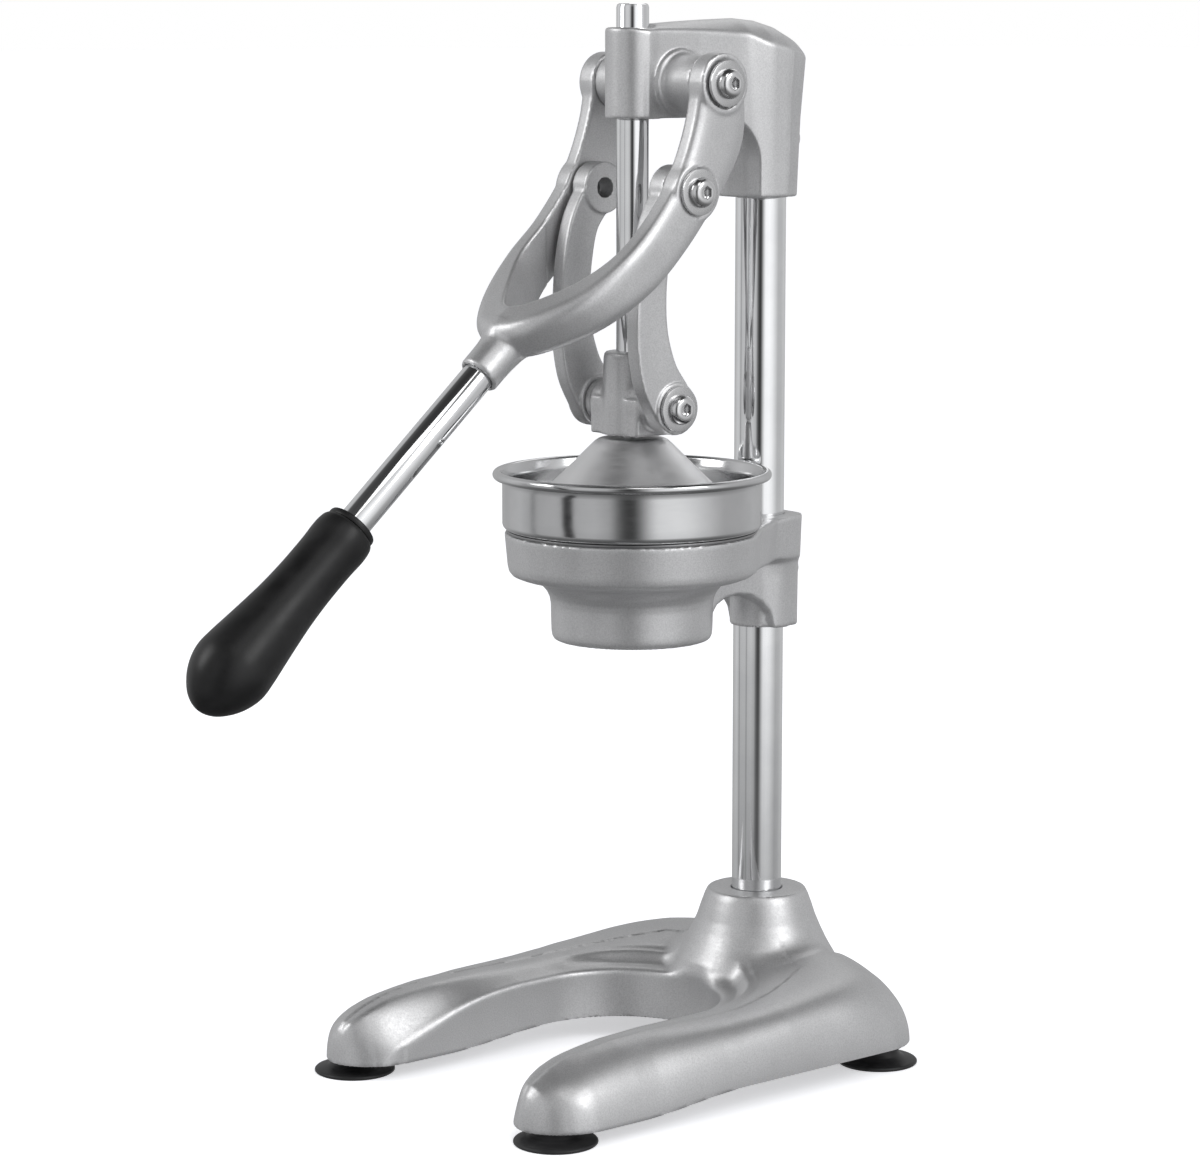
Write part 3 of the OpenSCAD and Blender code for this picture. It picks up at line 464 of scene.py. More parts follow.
def f_head(x, y, z):
    ax = np.abs(x)
    top = np.interp(y, [-13, 0, 9, 25, 41, 60, 72, 82, 91.5, 100], [488.2, 488.7, 489.8, 490.9, 491.7, 492.4, 491.4, 488.9, 484.6, 479.2])
    cn = np.interp(y, [-13, 0, 30, 54, 67, 80, 100], [0.6, 1.6, 4.4, 7.0, 8.4, 9.3, 9.8])
    hw = np.interp(y, [0, 30, 54, 67, 80, 92, 100], [12.6, 13.2, 14.4, 15.9, 17.6, 17.6, 14])
    top = top - cn * (ax / hw) ** 2
    # column sleeve: a rounded square that widens upward
    w = np.interp(z, [409, 427, 446, 460, 474, 486], [14.0, 14.6, 15.3, 16.3, 17.3, 17.8])
    rc = 0.66 * w
    front = np.where(y < 80, 0.95, 1.0)
    sq = box2(ax, (y - 80) / front, w, w + 1.4, rc) * 0.97
    # web between boss and sleeve, tapering in plan
    wy = np.interp(y, [-2, 30, 54, 67, 80], [12.5, 13.0, 14.1, 15.2, 16.6])
    web = np.maximum(ax - wy, np.maximum(-1 - y, y - 82)) * 0.99
    lo = np.where(y < 44, 447.0, np.where(y < 65.9, 425 + np.sqrt(np.maximum(22.2 ** 2 - (y - 44) ** 2, 0)), 405.0))
    lo_d = np.where(y < 44, 447 - z, 22.0 - np.hypot(y - 44, z - 425))
    lo_d = np.where((y >= 44) & (z < 425), 66.0 - y, lo_d)
    web = smax(web, lo_d, 1.2)
    d = smin(web, sq, 7)
    boss = np.hypot(x, y) - 12.6
    boss = smax(boss, 447 - z, 1.0)
    d = smin(d, boss, 1.2)
    d = smax(d, (z - top) * 0.96, 1.6)
    d = smax(d, 409 - z, 1.4)
    # trunnions on a low round pad
    pad = rod_x(ax, y - 18, z - 463, 15.4, 0, 14.6, 0.9)
    tr = smin(rod_x(ax, y - 18, z - 463, 13, 0, 33, 0.7), pad, 2.4)
    d = smin(d, tr, 1.0)
    d = smax(d, -(np.hypot(x, y) - 10.02), 0.5)
    d = smax(d, -np.maximum(np.hypot(x, y - 80) - 12.2, z - 474), 0.5)
    d = smax(d, -np.maximum(np.hypot(x, z - 436) - 7.6, 96.2 - y), 0.4)
    return d

P, F = mesh_field(f_head, (-35, -15, 405), (35, 103, 494), H * 0.8)
add_mesh("head_casting_visual", P, F, "stand", ["head_casting"], M_CAST)

# ---------------------------------------------------------------- holder casting

HOLD = [(0, 205.5), (35.4, 205.5), (36.6, 206), (37.4, 207.6), (37.7, 210), (38, 222.4), (38.6, 225.6), (40, 228.6), (42.3, 231.2), (45, 233), (48, 234.1),
        (53.6, 235.2), (56.2, 236.2), (57.5, 237.9), (58.1, 240.6), (59.4, 254.9), (59.1, 255.7), (58.4, 256), (0, 256)]

def f_holder(x, y, z):
    ax = np.abs(x)
    d = rev_sd(x, y, z, HOLD)
    plan = poly_sd(ax, y, [(-5, 18), (52, 18), (46.5, 34), (21.6, 72), (19.6, 84), (17.4, 91), (11.5, 96.4), (-5, 97.4)])
    lean = (257 - z) * 0.10
    plate = smax(plan + lean * 0.35, np.abs(z - 247.2) - 9.8, 1.5)
    rs = np.interp(z, [204, 216, 230, 240, 257], [16.2, 16.8, 17.4, 18.6, 19.6])
    sleeve = smax(smin(np.hypot(x, y - 80) - rs, box2(ax, y - 84, 15.0, 10.5, 5), 3), np.abs(z - 230.5) - 26.5, 1.2)
    web = smax(poly_sd(y, z, [(26, 244), (26, 214), (40, 212), (84, 204), (84, 244)]), ax - 15, 1.6)
    arm = smin(smin(web, sleeve, 2.0), plate, 3.0)
    arch = poly_sd(y, z, [(37, 190), (36.5, 213), (40.5, 218.6), (46, 221.4), (54, 222.4), (62, 221), (69, 217), (73.6, 211.2), (75.6, 204), (75.8, 190)])
    arch = np.maximum(arch, 13.7 - np.hypot(x, y - 80))
    arm = smax(arm, -arch, 1.4)
    d = smin(d, arm, 2.0)
    inn = rev_sd(x, y, z, [(0, 190), (33.5, 190), (33.5, 227), (47, 240.5), (53.5, 243), (54.5, 246), (54.5, 270), (0, 270)])
    d = smax(d, -inn, 0.8)
    d = smax(d, -(np.hypot(x, y - 80) - 12.15), 0.5)
    d = smax(d, -np.maximum(np.hypot(x, z - 230) - 7.6, 97.4 - y), 0.4)
    return d

P, F = mesh_field(f_holder, (-61, -61, 202), (61, 102, 259), H)
add_mesh("holder_casting_visual", P, F, "stand", ["holder_casting"], M_CAST)

# ---------------------------------------------------------------- fork

TILT = math.radians(41.1)
HD = np.array([0, -math.cos(TILT), -math.sin(TILT)])       # down the handle
HO = np.array([0, -90.9, 333.6])                           # mouth of the socket
XI, XO = 33.3, 43.8
MX, HX = (XI + XO) / 2, (XO - XI) / 2
FORK = [[MX, 18, 463, 13.4, HX - 0.2, 12], [MX, 16, 440, 15.6, HX - 0.1, 17], [MX, 2.4, 414.5, 13, HX, 31],
        [MX, -15, 393, 12, HX, 43], [MX - 1, -33, 377, 11.6, HX + 0.6, 48], [MX - 9.5, -51, 363.5, 11, HX + 3, 49],
        [MX - 25, -68, 353.8, 10.4, HX + 3.8, 49], [0, -74, 351, 10.2, HX + 3.8, 49]]
NF = 57
FS = spline(FORK, NF)
FP = FS[:, :3]
FT = np.gradient(FP, axis=0); FT[-1] = (-1, 0, 0)
FT /= np.linalg.norm(FT, axis=1)[:, None]
FVv = np.stack([0 * FS[:, 5], -np.cos(np.radians(FS[:, 5])), np.sin(np.radians(FS[:, 5]))], 1)
FU = np.cross(FT, FVv); FU /= np.linalg.norm(FU, axis=1)[:, None]
FW = np.cross(FU, FT)

def f_arm(x, y, z):
    sh = x.shape
    p = np.stack([np.abs(x).ravel(), y.ravel(), z.ravel()], 1)
    best = np.full(len(p), 1e9); bi = np.zeros(len(p), int)
    for i in range(NF):
        d = ((p - FP[i]) ** 2).sum(1)
        m = d < best; best[m] = d[m]; bi[m] = i
    # refine between stations
    i0 = np.clip(bi, 1, NF - 2)
    t = ((p - FP[bi]) * FT[bi]).sum(1)
    seg = np.where(t > 0, np.linalg.norm(FP[np.minimum(bi + 1, NF - 1)] - FP[bi], axis=1), np.linalg.norm(FP[bi] - FP[np.maximum(bi - 1, 0)], axis=1)) + 1e-6
    g = np.clip(bi + t / seg, 0, NF - 1)
    k = np.minimum(g.astype(int), NF - 2); fr = (g - k)[:, None]
    L = lambda A: A[k] * (1 - fr) + A[k + 1] * fr
    c, u, w, s = L(FP), L(FU), L(FW), L(FS)
    q = p - c
    a = (q * u).sum(1); b = (q * w).sum(1)
    hw, hu = s[:, 3], s[:, 4]
    tt = np.clip((g / (NF - 1) - 0.55) / 0.45, 0, 1)
    # flat inner face with a crisp edge, gently rounded outer face
    flat = box2(a, b, hu, hw, 1.5)
    eo = 3.0 - 0.7 * tt
    ra, rb = np.maximum(-a, 0) / hu, np.abs(b) / hw
    G = ((ra ** eo + rb ** eo + 1e-9) ** (1 / eo) - 1) * np.minimum(hu, hw)
    d = smax(flat, G, 0.8)
    end = (p - FP[0]) @ (-FT[0])
    d = np.maximum(d, end)
    return d.reshape(sh)

def along(x, y, z, o, d):
    t = (x - o[0]) * d[0] + (y - o[1]) * d[1] + (z - o[2]) * d[2]
    r = np.sqrt(np.maximum((x - o[0]) ** 2 + (y - o[1]) ** 2 + (z - o[2]) ** 2 - t * t, 0))
    return t, r

def f_yoke(x, y, z):
    ax = np.abs(x)
    d = f_arm(x, y, z)
    eye = rod_x(ax, y - 18, z - 463, 13.9, XI, XO, 1.2)
    d = smin(d, eye, 1.6)
    pb = rod_x(ax, y - 2.4, z - 414.5, 13, XI, XI + 9.7, 1.0)
    d = smin(d, pb, 1.2)
    t, r = along(x, y, z, HO, HD)
    sock = poly_sd(r, t, [(0, -26), (11.6, -26), (10.4, -19), (9.75, -12), (9.6, -6), (9.6, -1.2), (8.9, 0), (0, 0)])
    d = smin(d, sock, 1.8)
    d = smax(d, t - 0.0 + 0 * r, 0.5)
    d = smax(d, XI - ax - 100 * (y < -24), 0.5)
    d = smax(d, -np.maximum(r - 7.6, -30 - t), 0.4)
    d = smax(d, -np.maximum(np.hypot(y - 18, z - 463) - 11.3, 43.1 - ax), 0.25)
    d = smax(d, -np.maximum(np.hypot(y - 2.4, z - 414.5) - 11.3, 42.95 - ax), 0.25)
    d = smax(d, -(np.hypot(y - 18, z - 463) - 8.05), 0.4)
    d = smax(d, -(np.hypot(y - 2.4, z - 414.5) - 4.05), 0.3)
    return d

P, F = mesh_field(f_yoke, (-47, -100, 324), (47, 35, 480), H * 0.85)
add_mesh("yoke_casting_visual", P, F, "lever", ["yoke_casting"], M_CAST)

# ---------------------------------------------------------------- links

LKW = spline([[2.4, 414.5, 9.6], [-8, 400, 8.4], [-12.5, 383, 8.4], [-14.2, 364, 8.6], [-13.6, 347, 9.6], [-9.6, 331, 11], [-3.4, 320.5, 11.9], [0, 315.5, 12]], 57)
LK = LKW[:, :2]
LT = np.gradient(LK, axis=0); LT /= np.linalg.norm(LT, axis=1)[:, None]

def f_link(x, y, z):
    sh = x.shape
    p = np.stack([y.ravel(), z.ravel()], 1)
    best = np.full(len(p), 1e9)
    for i in range(len(LK) - 1):                 # a chain of discs of changing size
        e = LK[i + 1] - LK[i]
        h = np.clip((p - LK[i]) @ e / (e @ e), 0, 1)
        q = p - LK[i] - h[:, None] * e
        best = np.minimum(best, np.hypot(q[:, 0], q[:, 1]) - (LKW[i, 2] * (1 - h) + LKW[i + 1, 2] * h))
    d2 = best.reshape(sh)
    xm = x - 27.1
    R = 1.0
    q1, q2 = d2 + R, np.abs(xm) - 4.0 + R
    bar = np.hypot(np.maximum(q1, 0), np.maximum(q2, 0)) + np.minimum(np.maximum(q1, q2), 0) - R
    e1 = rod_x(x, y - 2.4, z - 414.5, 12, 22.2, 32, 0.7)
    e2 = rod_x(x, y, z - 315.5, 12, 22.2, 32, 0.7)
    d = smin(bar, np.minimum(e1, e2), 0.8)
    d = smax(d, -(np.hypot(y - 2.4, z - 414.5) - 4.7), 0.4)
    d = smax(d, -(np.hypot(y, z - 315.5) - 7.05), 0.4)
    return d

P, F = mesh_field(f_link, (20, -28, 301), (34, 17, 429), H * 0.7)
add_mesh("right_link_visual", P, F, "right_link", ["right_link"], M_CAST)
P2 = P.copy(); P2[:, 0] *= -1
add_mesh("left_link_visual", P2, F[:, ::-1].copy(), "left_link", ["left_link"], M_CAST)

# ---------------------------------------------------------------- crosshead

def f_cross(x, y, z):
    boss = rev_sd(x, y, z, [(0, 301.5), (13.4, 301.5), (13.9, 302), (13.8, 315), (13.3, 337), (12.9, 339), (12, 340), (0, 340)])
    ax = np.abs(x)
    blk = np.maximum(box2(ax, np.abs(y), 16.8, 11.6, 2.2), 0)
    q1 = box2(ax, np.abs(y), 16.8, 11.6, 1.6) + 0.9
    q2 = np.abs(z - 310.4) - 8.6 + 0.9
    blk = np.hypot(np.maximum(q1, 0), np.maximum(q2, 0)) + np.minimum(np.maximum(q1, q2), 0) - 0.9
    d = smin(boss, blk, 1.6)
    st = rod_x(ax, y, z - 315.5, 11.2, 5, 18.0, 1.0)
    st2 = rod_x(ax, y, z - 315.5, 10.4, 5, 21.9, 0.6)
    d = smin(smin(d, st, 1.4), st2, 0.6)
    d = smax(d, 301.5 - z, 0.4)
    d = smax(d, -np.maximum(np.hypot(x, y) - 7.52, 313 - z), 0.4)
    return d

P, F = mesh_field(f_cross, (-24, -16, 299), (24, 16, 342), H * 0.65)
add_mesh("crosshead_casting_visual", P, F, "press", ["crosshead_casting"], M_CAST)

# ---------------------------------------------------------------- turned and spun pieces

SEG = 128

def lathe_piece(name, prof, body, nodes, mat, m=None, segs=None, r=0.3, hexes=(), sharp=34, raw=False, rfun=None):
    V, Fc = lathe(prof if raw else chamfered(prof, r), segs or SEG, m, hexes, rfun)
    return add_mesh(name, V, Fc, body, nodes, mat, sharp)

COL = frame_m((0, 80, 0), (0, 0, 1))
AX = frame_m((0, 0, 0), (0, 0, 1))
lathe_piece("column_tube_visual", [(10, 22), (12, 22), (12, 476), (10, 476)], "stand", ["column_tube"], M_CHROME, COL, r=0.6)
lathe_piece("guide_bush_visual", [(7.55, 447), (10, 447), (10, 488), (7.55, 488)], "stand", ["guide_bush"], M_BUSH, AX, r=0.4)
rodp = [(0, 313), (7.5, 313), (7.5, 497.3), (7.1, 498.5), (6.2, 499), (4.45, 499), (4.05, 498.6), (4.0, 494.2), (0, 494)]
lathe_piece("guide_rod_visual", rodp, "press", ["guide_rod"], M_CHROME, AX, raw=True, hexes=(6, 7), segs=96)
HM = frame_m(HO, HD, (1, 0, 0))
lathe_piece("handle_rod_visual", [(0, -22), (7.5, -22), (7.5, 160), (0, 160)], "lever", ["handle_rod"], M_CHROME, HM, r=0.6)
lathe_piece("grip_collar_visual", [(7.5, 93), (11.8, 93), (11.8, 96), (7.5, 96)], "lever", ["grip_collar"], M_GRIP, HM, r=0.8)

GR = [[0, 12.2], [0.02, 13.3], [0.07, 13.8], [0.16, 13.4], [0.3, 13.5], [0.42, 14.2], [0.52, 15.3], [0.62, 16.6], [0.71, 17.8], [0.78, 18.3],
      [0.84, 17.1], [0.9, 14.2], [0.955, 9.6], [0.985, 5], [1, 0]]
gs = spline(GR, 70)
gp = [(7.5, 96.3), (10.6, 96.0), (11.7, 96.15), (12.4, 96.6)] + [(max(0, r * 0.997), 96 + s * 106.9) for s, r in gs[2:]]
gp[-1] = (0, 202.9)
lathe_piece("grip_visual", gp, "lever", ["grip"], M_GRIP, HM, raw=True, sharp=60)

def screw(name, origin, axis, body, node, shank):
    s, k = 7.0, 4.4
    dome = [(s, 0.0), (s, 0.55)] + [(3.9 + (s - 3.9) * math.cos(math.radians(a)), 0.55 + (k - 0.55) * math.sin(math.radians(a))) for a in (12, 25, 38, 50, 62, 74)] + [(3.75, k), (3.3, k)]
    n = len(dome)
    prof = [(0, -shank), (4, -shank), (4, 0)] + dome + [(2.72, k - 0.05), (2.5, k - 0.3), (2.5, k - 2.5), (0, k - 2.9)]
    hx = (3 + n, 4 + n, 5 + n)
    V, Fc = lathe(prof, 72, frame_m(origin, axis), hx)
    return add_mesh(name, V, Fc, body, [node], M_HARD, 32)

for s, nm in ((1, "right"), (-1, "left")):
    a = (s, 0, 0)
    screw(nm + "_pivot_screw_visual", (s * 45.9, 18, 463), a, "stand", nm + "_pivot_screw", 27)
    screw(nm + "_link_screw_visual", (s * 44.8, 2.4, 414.5), a, "lever", nm + "_link_screw", 11)
    screw(nm + "_cross_screw_visual", (s * 34.1, 0, 315.5), a, "press", nm + "_cross_screw", 22)
    lathe_piece(nm + "_pivot_bush_visual", [(4, 0), (8, 0), (8, 11.1), (10.5, 11.1), (10.5, 12.9), (4, 12.9)], "stand", [nm + "_pivot_bush"], M_BUSH, frame_m((s * 33, 18, 463), a), 72)
    lathe_piece(nm + "_link_washer_visual", [(4, 0), (10.5, 0), (10.5, 1.8), (4, 1.8)], "lever", [nm + "_link_washer"], M_BUSH, frame_m((s * 43, 2.4, 414.5), a), 72)
    lathe_piece(nm + "_cross_bush_visual", [(4, 0), (7, 0), (7, 10.4), (10.5, 10.4), (10.5, 12.2), (4, 12.2)], "press", [nm + "_cross_bush"], M_BUSH, frame_m((s * 21.9, 0, 315.5), a), 72)
screw("head_set_screw_visual", (0, 96.2, 436), (0, 1, 0), "stand", "head_set_screw", 4.2)
screw("holder_set_screw_visual", (0, 97.4, 230), (0, 1, 0), "stand", "holder_set_screw", 5.4)
screw("base_set_screw_visual", (0, 105.5, 63), (0, 1, 0), "stand", "base_set_screw", 13.5)

hood = [(5, 300), (13.6, 300), (15.4, 299.6), (17.2, 298.5), (19, 296.8), (36, 280), (40.5, 276), (43.6, 272), (45.8, 267.5), (47.1, 262.6),
        (46.9, 261.9), (46.2, 261.6), (45.3, 261.6), (44.8, 262), (42.8, 267.2), (40.8, 270.8), (38, 274.2), (34, 277.8), (16.8, 294.6), (14, 296.4), (5, 296.4)]
lathe_piece("press_hood_visual", hood, "press", ["press_hood"], M_HOOD, AX, r=0.8, sharp=50)
lathe_piece("hood_stud_visual", [(0, 290.4), (5, 290.4), (5, 310), (0, 310)], "press", ["hood_stud"], M_HARD, AX, 48)
lathe_piece("hood_nut_visual", [(5, 291.4), (8.0, 291.4), (8.5, 291.9), (8.5, 295.9), (8.0, 296.4), (5, 296.4)], "press", ["hood_nut"], M_HARD, AX, 72, raw=True, hexes=(1, 2, 3, 4))

funnel = [(58.6, 257.2), (58.6, 256), (53.6, 256), (53.6, 246.2), (51.5, 243.8), (15, 224), (13.5, 221.5), (13.5, 208), (12.5, 208), (12.5, 222), (14.2, 224.8), (50.8, 244.6), (52.6, 246.8), (52.6, 257.2)]
lathe_piece("juice_funnel_visual", funnel, "stand", ["juice_funnel"], M_FUNNEL_PAINTED_SHADE, AX, r=0.35)

def bowl_mesh():
    """Bowl with a rolled rim and a slotted floor."""
    zb, zr, W, br = 257.2, 282.8, 60.5, 2.15
    segs = 24 * 8
    th = np.arange(segs) * 2 * math.pi / segs
    per = segs // 24
    out = [(51.6, zb), (57.3, zb)]
    for a in np.linspace(-80, 0, 7):
        out.append((W - 3.2 + 3.2 * math.cos(math.radians(a)), zb + 3.2 + 3.2 * math.sin(math.radians(a))))
    out += [(W, zb + 8), (W, zr - 5)]
    # neck below the bead, then round the bead and into the wall's inner side
    out += [(W + 0.1, zr - 3.6), (W + 0.45, zr - 2.3)]
    for a in np.linspace(-118, 176, 22):
        out.append((65 - br + br * math.cos(math.radians(a)), zr + br * math.sin(math.radians(a))))
    out += [(W - 0.75, zr - 1.6), (W - 1, zr - 4), (W - 1, zb + 8)]
    for a in np.linspace(0, -80, 7):
        out.append((W - 3.2 + 2.2 * math.cos(math.radians(a)), zb + 3.2 + 2.2 * math.sin(math.radians(a))))
    out += [(57.1, zb + 1), (51.6, zb + 1)]
    n = len(out)
    V, Fc = [], []
    for r, z in out:
        V += [(r * math.cos(t), r * math.sin(t), z) for t in th]
    for i in range(n - 1):
        for k in range(segs):
            k2 = (k + 1) % segs
            Fc.append((i * segs + k, i * segs + k2, (i + 1) * segs + k2, (i + 1) * segs + k))
    # floor: rings at 51.6 (already there), 49.5, 40.5 and 38, with a slot in each pitch
    rings = [51.6, 49.4, 47, 43.5, 40.6, 38.4, 20, 0]
    half = 0.3
    def vid(side, j, k):
        k %= segs
        if j == 0:
            return (0 if side == 0 else n - 1) * segs + k
        return base[side][j] + (0 if rings[j] == 0 else k)
    base = [{}, {}]
    for side, z in ((0, zb), (1, zb + 1)):
        for j in range(1, len(rings)):
            base[side][j] = len(V)
            if rings[j] == 0:
                V.append((0, 0, z))
            else:
                V += [(rings[j] * math.cos(t), rings[j] * math.sin(t), z) for t in th]
    lo_k, hi_k = int(per * 0.25), int(per * 0.75)
    def is_slot(j, k):
        return 1 <= j <= 3 and lo_k <= (k % per) < hi_k
    for j in range(len(rings) - 1):
        for k in range(segs):
            if is_slot(j, k):
                # walls of the slot where the neighbour is solid
                if not is_slot(j, k - 1): Fc.append((vid(0, j, k), vid(0, j + 1, k), vid(1, j + 1, k), vid(1, j, k)))
                if not is_slot(j, k + 1): Fc.append((vid(0, j + 1, k + 1), vid(0, j, k + 1), vid(1, j, k + 1), vid(1, j + 1, k + 1)))
                if not is_slot(j - 1, k): Fc.append((vid(0, j, k + 1), vid(0, j, k), vid(1, j, k), vid(1, j, k + 1)))
                if not is_slot(j + 1, k): Fc.append((vid(0, j + 1, k), vid(0, j + 1, k + 1), vid(1, j + 1, k + 1), vid(1, j + 1, k)))
                continue
            if rings[j + 1] == 0:
                Fc.append((vid(0, j, k + 1), vid(0, j, k), vid(0, j + 1, k)))
                Fc.append((vid(1, j, k), vid(1, j, k + 1), vid(1, j + 1, k)))
            else:
                Fc.append((vid(0, j, k + 1), vid(0, j, k), vid(0, j + 1, k), vid(0, j + 1, k + 1)))
                Fc.append((vid(1, j, k), vid(1, j, k + 1), vid(1, j + 1, k + 1), vid(1, j + 1, k)))
    return V, Fc

V, Fc = bowl_mesh()
add_mesh("strainer_bowl_visual", V, Fc, "stand", ["strainer_bowl"], M_BOWL, 50)

def f_reamer(x, y, z):
    z0 = 258.2
    r = np.hypot(x, y)
    shell = poly_sd(r, z, [(30.5, z0), (38, z0), (38, z0 + 0.9), (33, z0 + 1.2), (29.5, z0 + 3.4), (8, z0 + 22), (5, z0 + 23.6), (0, z0 + 24.2),
                           (0, z0 + 22.4), (4.4, z0 + 22), (7, z0 + 20.6), (28.2, z0 + 2.2), (30.3, z0 + 0.4)])
    th = np.arctan2(y, x) - math.radians(18)
    pitch = 2 * math.pi / 10
    a = (th + pitch / 2) % pitch - pitch / 2
    off = np.abs(r * np.sin(a))
    rib = np.maximum(off - 1.0, poly_sd(r, z, [(34.5, z0 + 1.1), (31.5, z0 + 4.4), (10, z0 + 22.6), (7, z0 + 22.8), (7.2, z0 + 21.6), (29, z0 + 2.8)]))
    return smin(shell, rib, 1.4)

P, F = mesh_field(f_reamer, (-40, -40, 256), (40, 40, 284.5), H * 0.8)
add_mesh("reamer_cone_visual", P, F, "stand", ["reamer_cone"], M_HOOD, 50)

foot = [(0, 1.2), (12, 1.2), (13.5, 0), (18.4, 0), (18.98, 0.5), (18.98, 1.3), (18.4, 1.9), (16, 2.5), (13, 3.1), (11.2, 4.2), (10.2, 5.8), (10, 7.5), (10, 10), (0, 10)]
for nm, px, py in (("front_right_foot", 75, -108), ("front_left_foot", -75, -108), ("rear_right_foot", 73.5, 91.5), ("rear_left_foot", -73.5, 91.5)):
    lathe_piece(nm + "_visual", foot, "stand", [nm], M_FOOT, frame_m((px, py, 0), (0, 0, 1)), 72, r=0.35, sharp=50)

# CAD nodes that stay as they are get their finish
for n in ("foot_screws",):
    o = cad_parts[n]
    o.data.materials.clear(); o.data.materials.append(M_HARD)

# ---------------------------------------------------------------- room

def plane(name, verts, mat, cam=True, shadow=True):
    me = bpy.data.meshes.new(name); me.from_pydata(verts, [], [(0, 1, 2, 3)])
    o = bpy.data.objects.new(name, me); bpy.context.scene.collection.objects.link(o)
    me.materials.append(mat)
    o.visible_camera = cam; o.visible_shadow = shadow
    return o

mf, nt, b = new_mat("floor_white")
c = coords(nt)
fl = noise(nt, c, 9, 3)
nt.links.new(mixc(nt, fl, (0.84, 0.85, 0.88), (0.87, 0.88, 0.90)), b.inputs["Base Color"])
b.inputs["Roughness"].default_value = 0.8
b.inputs["Specular IOR Level"].default_value = 0.15
b.inputs["Emission Color"].default_value = (0.985, 0.985, 1.0, 1)
b.inputs["Emission Strength"].default_value = 0.50
floor = plane("floor", [(-60, -60, 0), (60, -60, 0), (60, 60, 0), (-60, 60, 0)], mf)
floor.visible_glossy = False          # the bright metals see the studio's grey below, not a white table

# The studio round the object: white behind, and for everything the metals see a ring of panels and dark gaps.
VIEW_AZ = 50.0                         # the main camera's bearing, degrees round from -Y towards +X
RING = [(-180, .42), (-147, .50), (-118, .66), (-104, .56), (-99, .30), (-93, .54), (-75, .58), (-63, .58), (-58, .34), (-52, .60), (-34, .64),
        (-20, .52), (-12, .16), (-5, .045), (2, .05), (8, .30), (14, .66), (22, 1.04), (40, 1.10), (56, .98), (72, .74), (88, .52), (108, .52), (134, .60),
        (160, .48), (180, .42)]
UP = [(-1, .26), (-.6, .38), (-.32, .82), (-.2, 1.0), (0, 1.05), (.45, 1.15), (.70, 1.0), (.80, .22), (1, .08)]

world = bpy.data.worlds.new("studio"); bpy.context.scene.world = world
world.use_nodes = True
wn = world.node_tree; wn.nodes.clear()

def curve(nt, val, pts, x0, x1, y1):
    """A piecewise linear function of a value."""
    mr = nt.nodes.new("ShaderNodeMapRange")
    mr.inputs["From Min"].default_value, mr.inputs["From Max"].default_value = x0, x1
    nt.links.new(val, mr.inputs["Value"])
    r = nt.nodes.new("ShaderNodeFloatCurve")
    cv = r.mapping.curves[0]
    q = [((x - x0) / (x1 - x0), y / y1) for x, y in pts]
    cv.points[0].location = q[0]; cv.points[-1].location = q[-1]
    for p_ in q[1:-1]:
        cv.points.new(*p_)
    for p_ in cv.points:
        p_.handle_type = "VECTOR"
    r.mapping.update()
    nt.links.new(mr.outputs[0], r.inputs["Value"])
    return math_n(nt, "MULTIPLY", r.outputs[0], y1)

tc = wn.nodes.new("ShaderNodeTexCoord"); sp = wn.nodes.new("ShaderNodeSeparateXYZ")
rot = wn.nodes.new("ShaderNodeMapping"); rot.vector_type = "POINT"
rot.inputs["Rotation"].default_value = (0, 0, math.radians(-VIEW_AZ))
wn.links.new(tc.outputs["Generated"], rot.inputs["Vector"]); wn.links.new(rot.outputs[0], sp.inputs[0])
neg_y = math_n(wn, "MULTIPLY", sp.outputs[1], -1.0)
az = math_n(wn, "ARCTAN2", sp.outputs[0], neg_y)
ring = curve(wn, az, [(math.radians(x), y) for x, y in RING], -math.pi, math.pi, 1.5)
up = curve(wn, sp.outputs[2], UP, -1, 1, 1.5)
hz = curve(wn, sp.outputs[2], [(-1, 0), (-.55, .55), (-.2, 1), (.3, 1), (.62, .5), (1, 0)], -1, 1, 1.0)
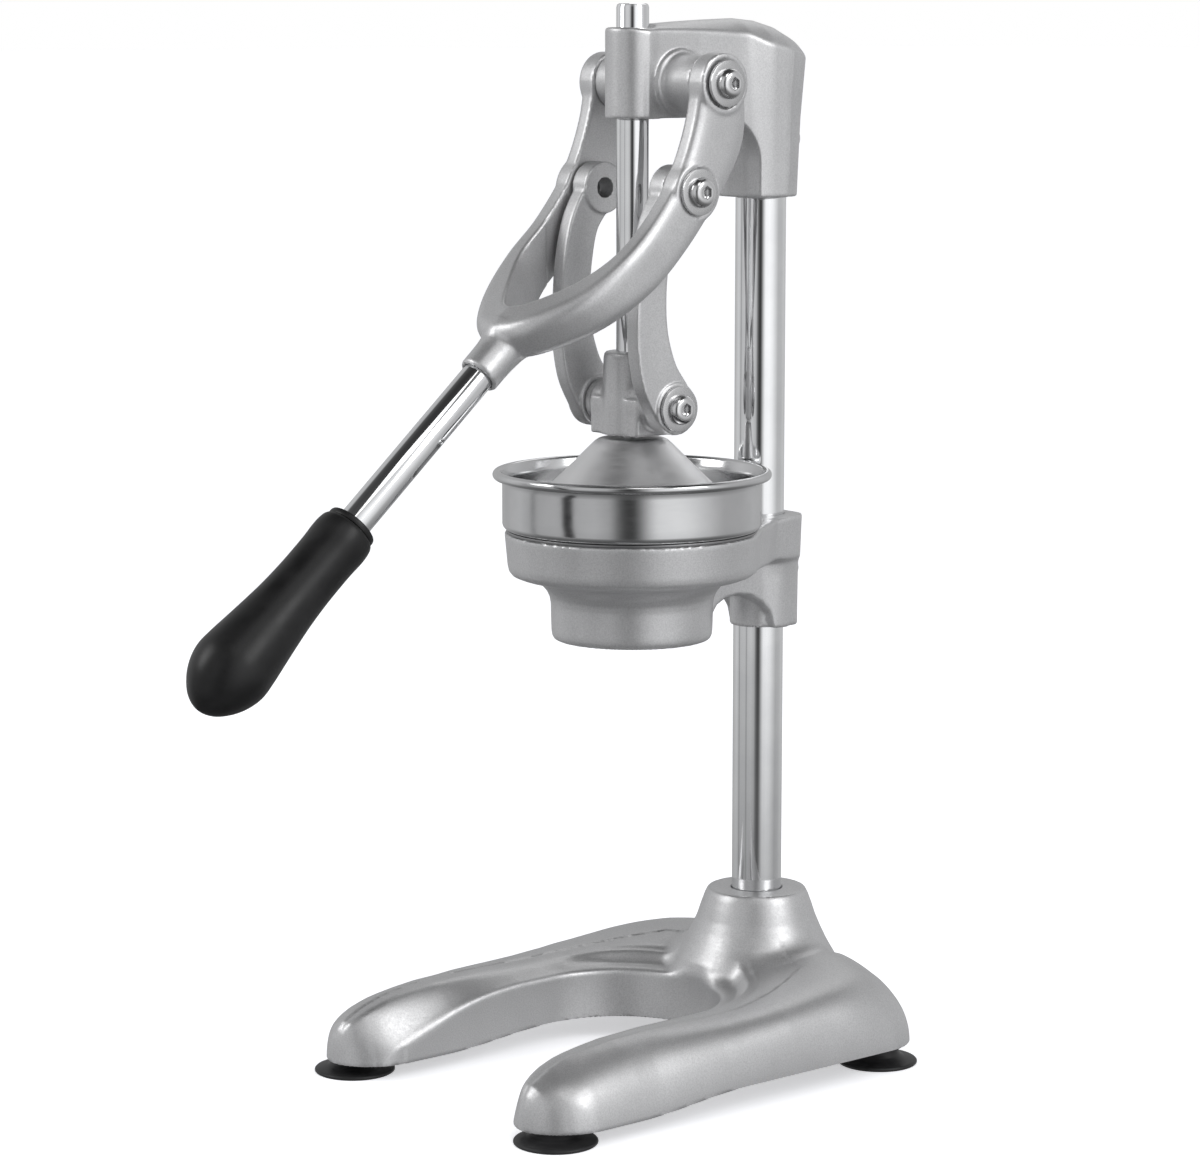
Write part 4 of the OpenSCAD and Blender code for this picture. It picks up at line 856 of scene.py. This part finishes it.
# towards the poles the ring fades to an even grey
even = math_n(wn, "MULTIPLY", math_n(wn, "SUBTRACT", 1.0, hz), 0.46)
amb = math_n(wn, "ADD", math_n(wn, "MULTIPLY", ring, hz), even)
val = math_n(wn, "MULTIPLY", amb, up)
bg2 = wn.nodes.new("ShaderNodeBackground"); bg2.inputs[0].default_value = (0.985, 0.99, 1.0, 1)
wn.links.new(val, bg2.inputs[1])
bg1 = wn.nodes.new("ShaderNodeBackground"); bg1.inputs[0].default_value = (1, 1, 1, 1); bg1.inputs[1].default_value = 1.0
wo = wn.nodes.new("ShaderNodeOutputWorld")
lp = wn.nodes.new("ShaderNodeLightPath"); mx = wn.nodes.new("ShaderNodeMixShader")
wn.links.new(lp.outputs["Is Camera Ray"], mx.inputs[0])
wn.links.new(bg2.outputs[0], mx.inputs[1]); wn.links.new(bg1.outputs[0], mx.inputs[2])
wn.links.new(mx.outputs[0], wo.inputs[0])

def area(name, loc, target, sx, sy, power, col=(1, 1, 1)):
    l = bpy.data.lights.new(name, "AREA"); l.shape = "RECTANGLE"; l.size, l.size_y = sx, sy
    l.energy = power; l.color = col
    o = bpy.data.objects.new(name, l); bpy.context.scene.collection.objects.link(o)
    o.location = loc
    d = Vector(target) - Vector(loc)
    o.rotation_euler = d.to_track_quat("-Z", "Y").to_euler()
    return o

def sun(name, frm, strength, angle):
    l = bpy.data.lights.new(name, "SUN"); l.energy = strength; l.angle = math.radians(angle)
    o = bpy.data.objects.new(name, l); bpy.context.scene.collection.objects.link(o)
    o.rotation_euler = (-Vector(frm)).to_track_quat("-Z", "Y").to_euler()
    o.visible_glossy = False
    return o

T = (0, 0.03, 0.25)
sun("sky_soft", (0.15, -0.25, 1.0), 0.9, 80)

def rel_box(name, rel, el, dist, sx, sy, power):
    """A softbox at a bearing from the camera's side and a height angle."""
    a, e = math.radians(VIEW_AZ + rel), math.radians(el)
    loc = (dist * math.cos(e) * math.sin(a), -dist * math.cos(e) * math.cos(a), T[2] + dist * math.sin(e))
    return area(name, loc, T, sx, sy, power)

rel_box("soft_right", 56, 32, 1.9, 0.7, 0.9, 8)
rel_box("soft_left", -84, 32, 1.9, 0.7, 0.9, 7.5)
rel_box("soft_top", 20, 58, 1.9, 0.7, 0.7, 2.5)
rel_box("soft_back", 165, 40, 1.9, 0.8, 0.8, 1.5)

# ---------------------------------------------------------------- camera

cd = bpy.data.cameras.new("camera"); cd.sensor_width = 36.0; cd.lens = 111.0
cd.clip_start = 0.05; cd.clip_end = 100
cam = bpy.data.objects.new("camera", cd); bpy.context.scene.collection.objects.link(cam)
cam.location = (1.3001, -1.1104 + 0.068, 0.4894)
cam.rotation_euler = (math.radians(81.41), 0, math.radians(50.0))
bpy.context.scene.camera = cam

sc = bpy.context.scene
sc.view_settings.view_transform = "Standard"
sc.view_settings.look = "None"
sc.view_settings.exposure = 0.0
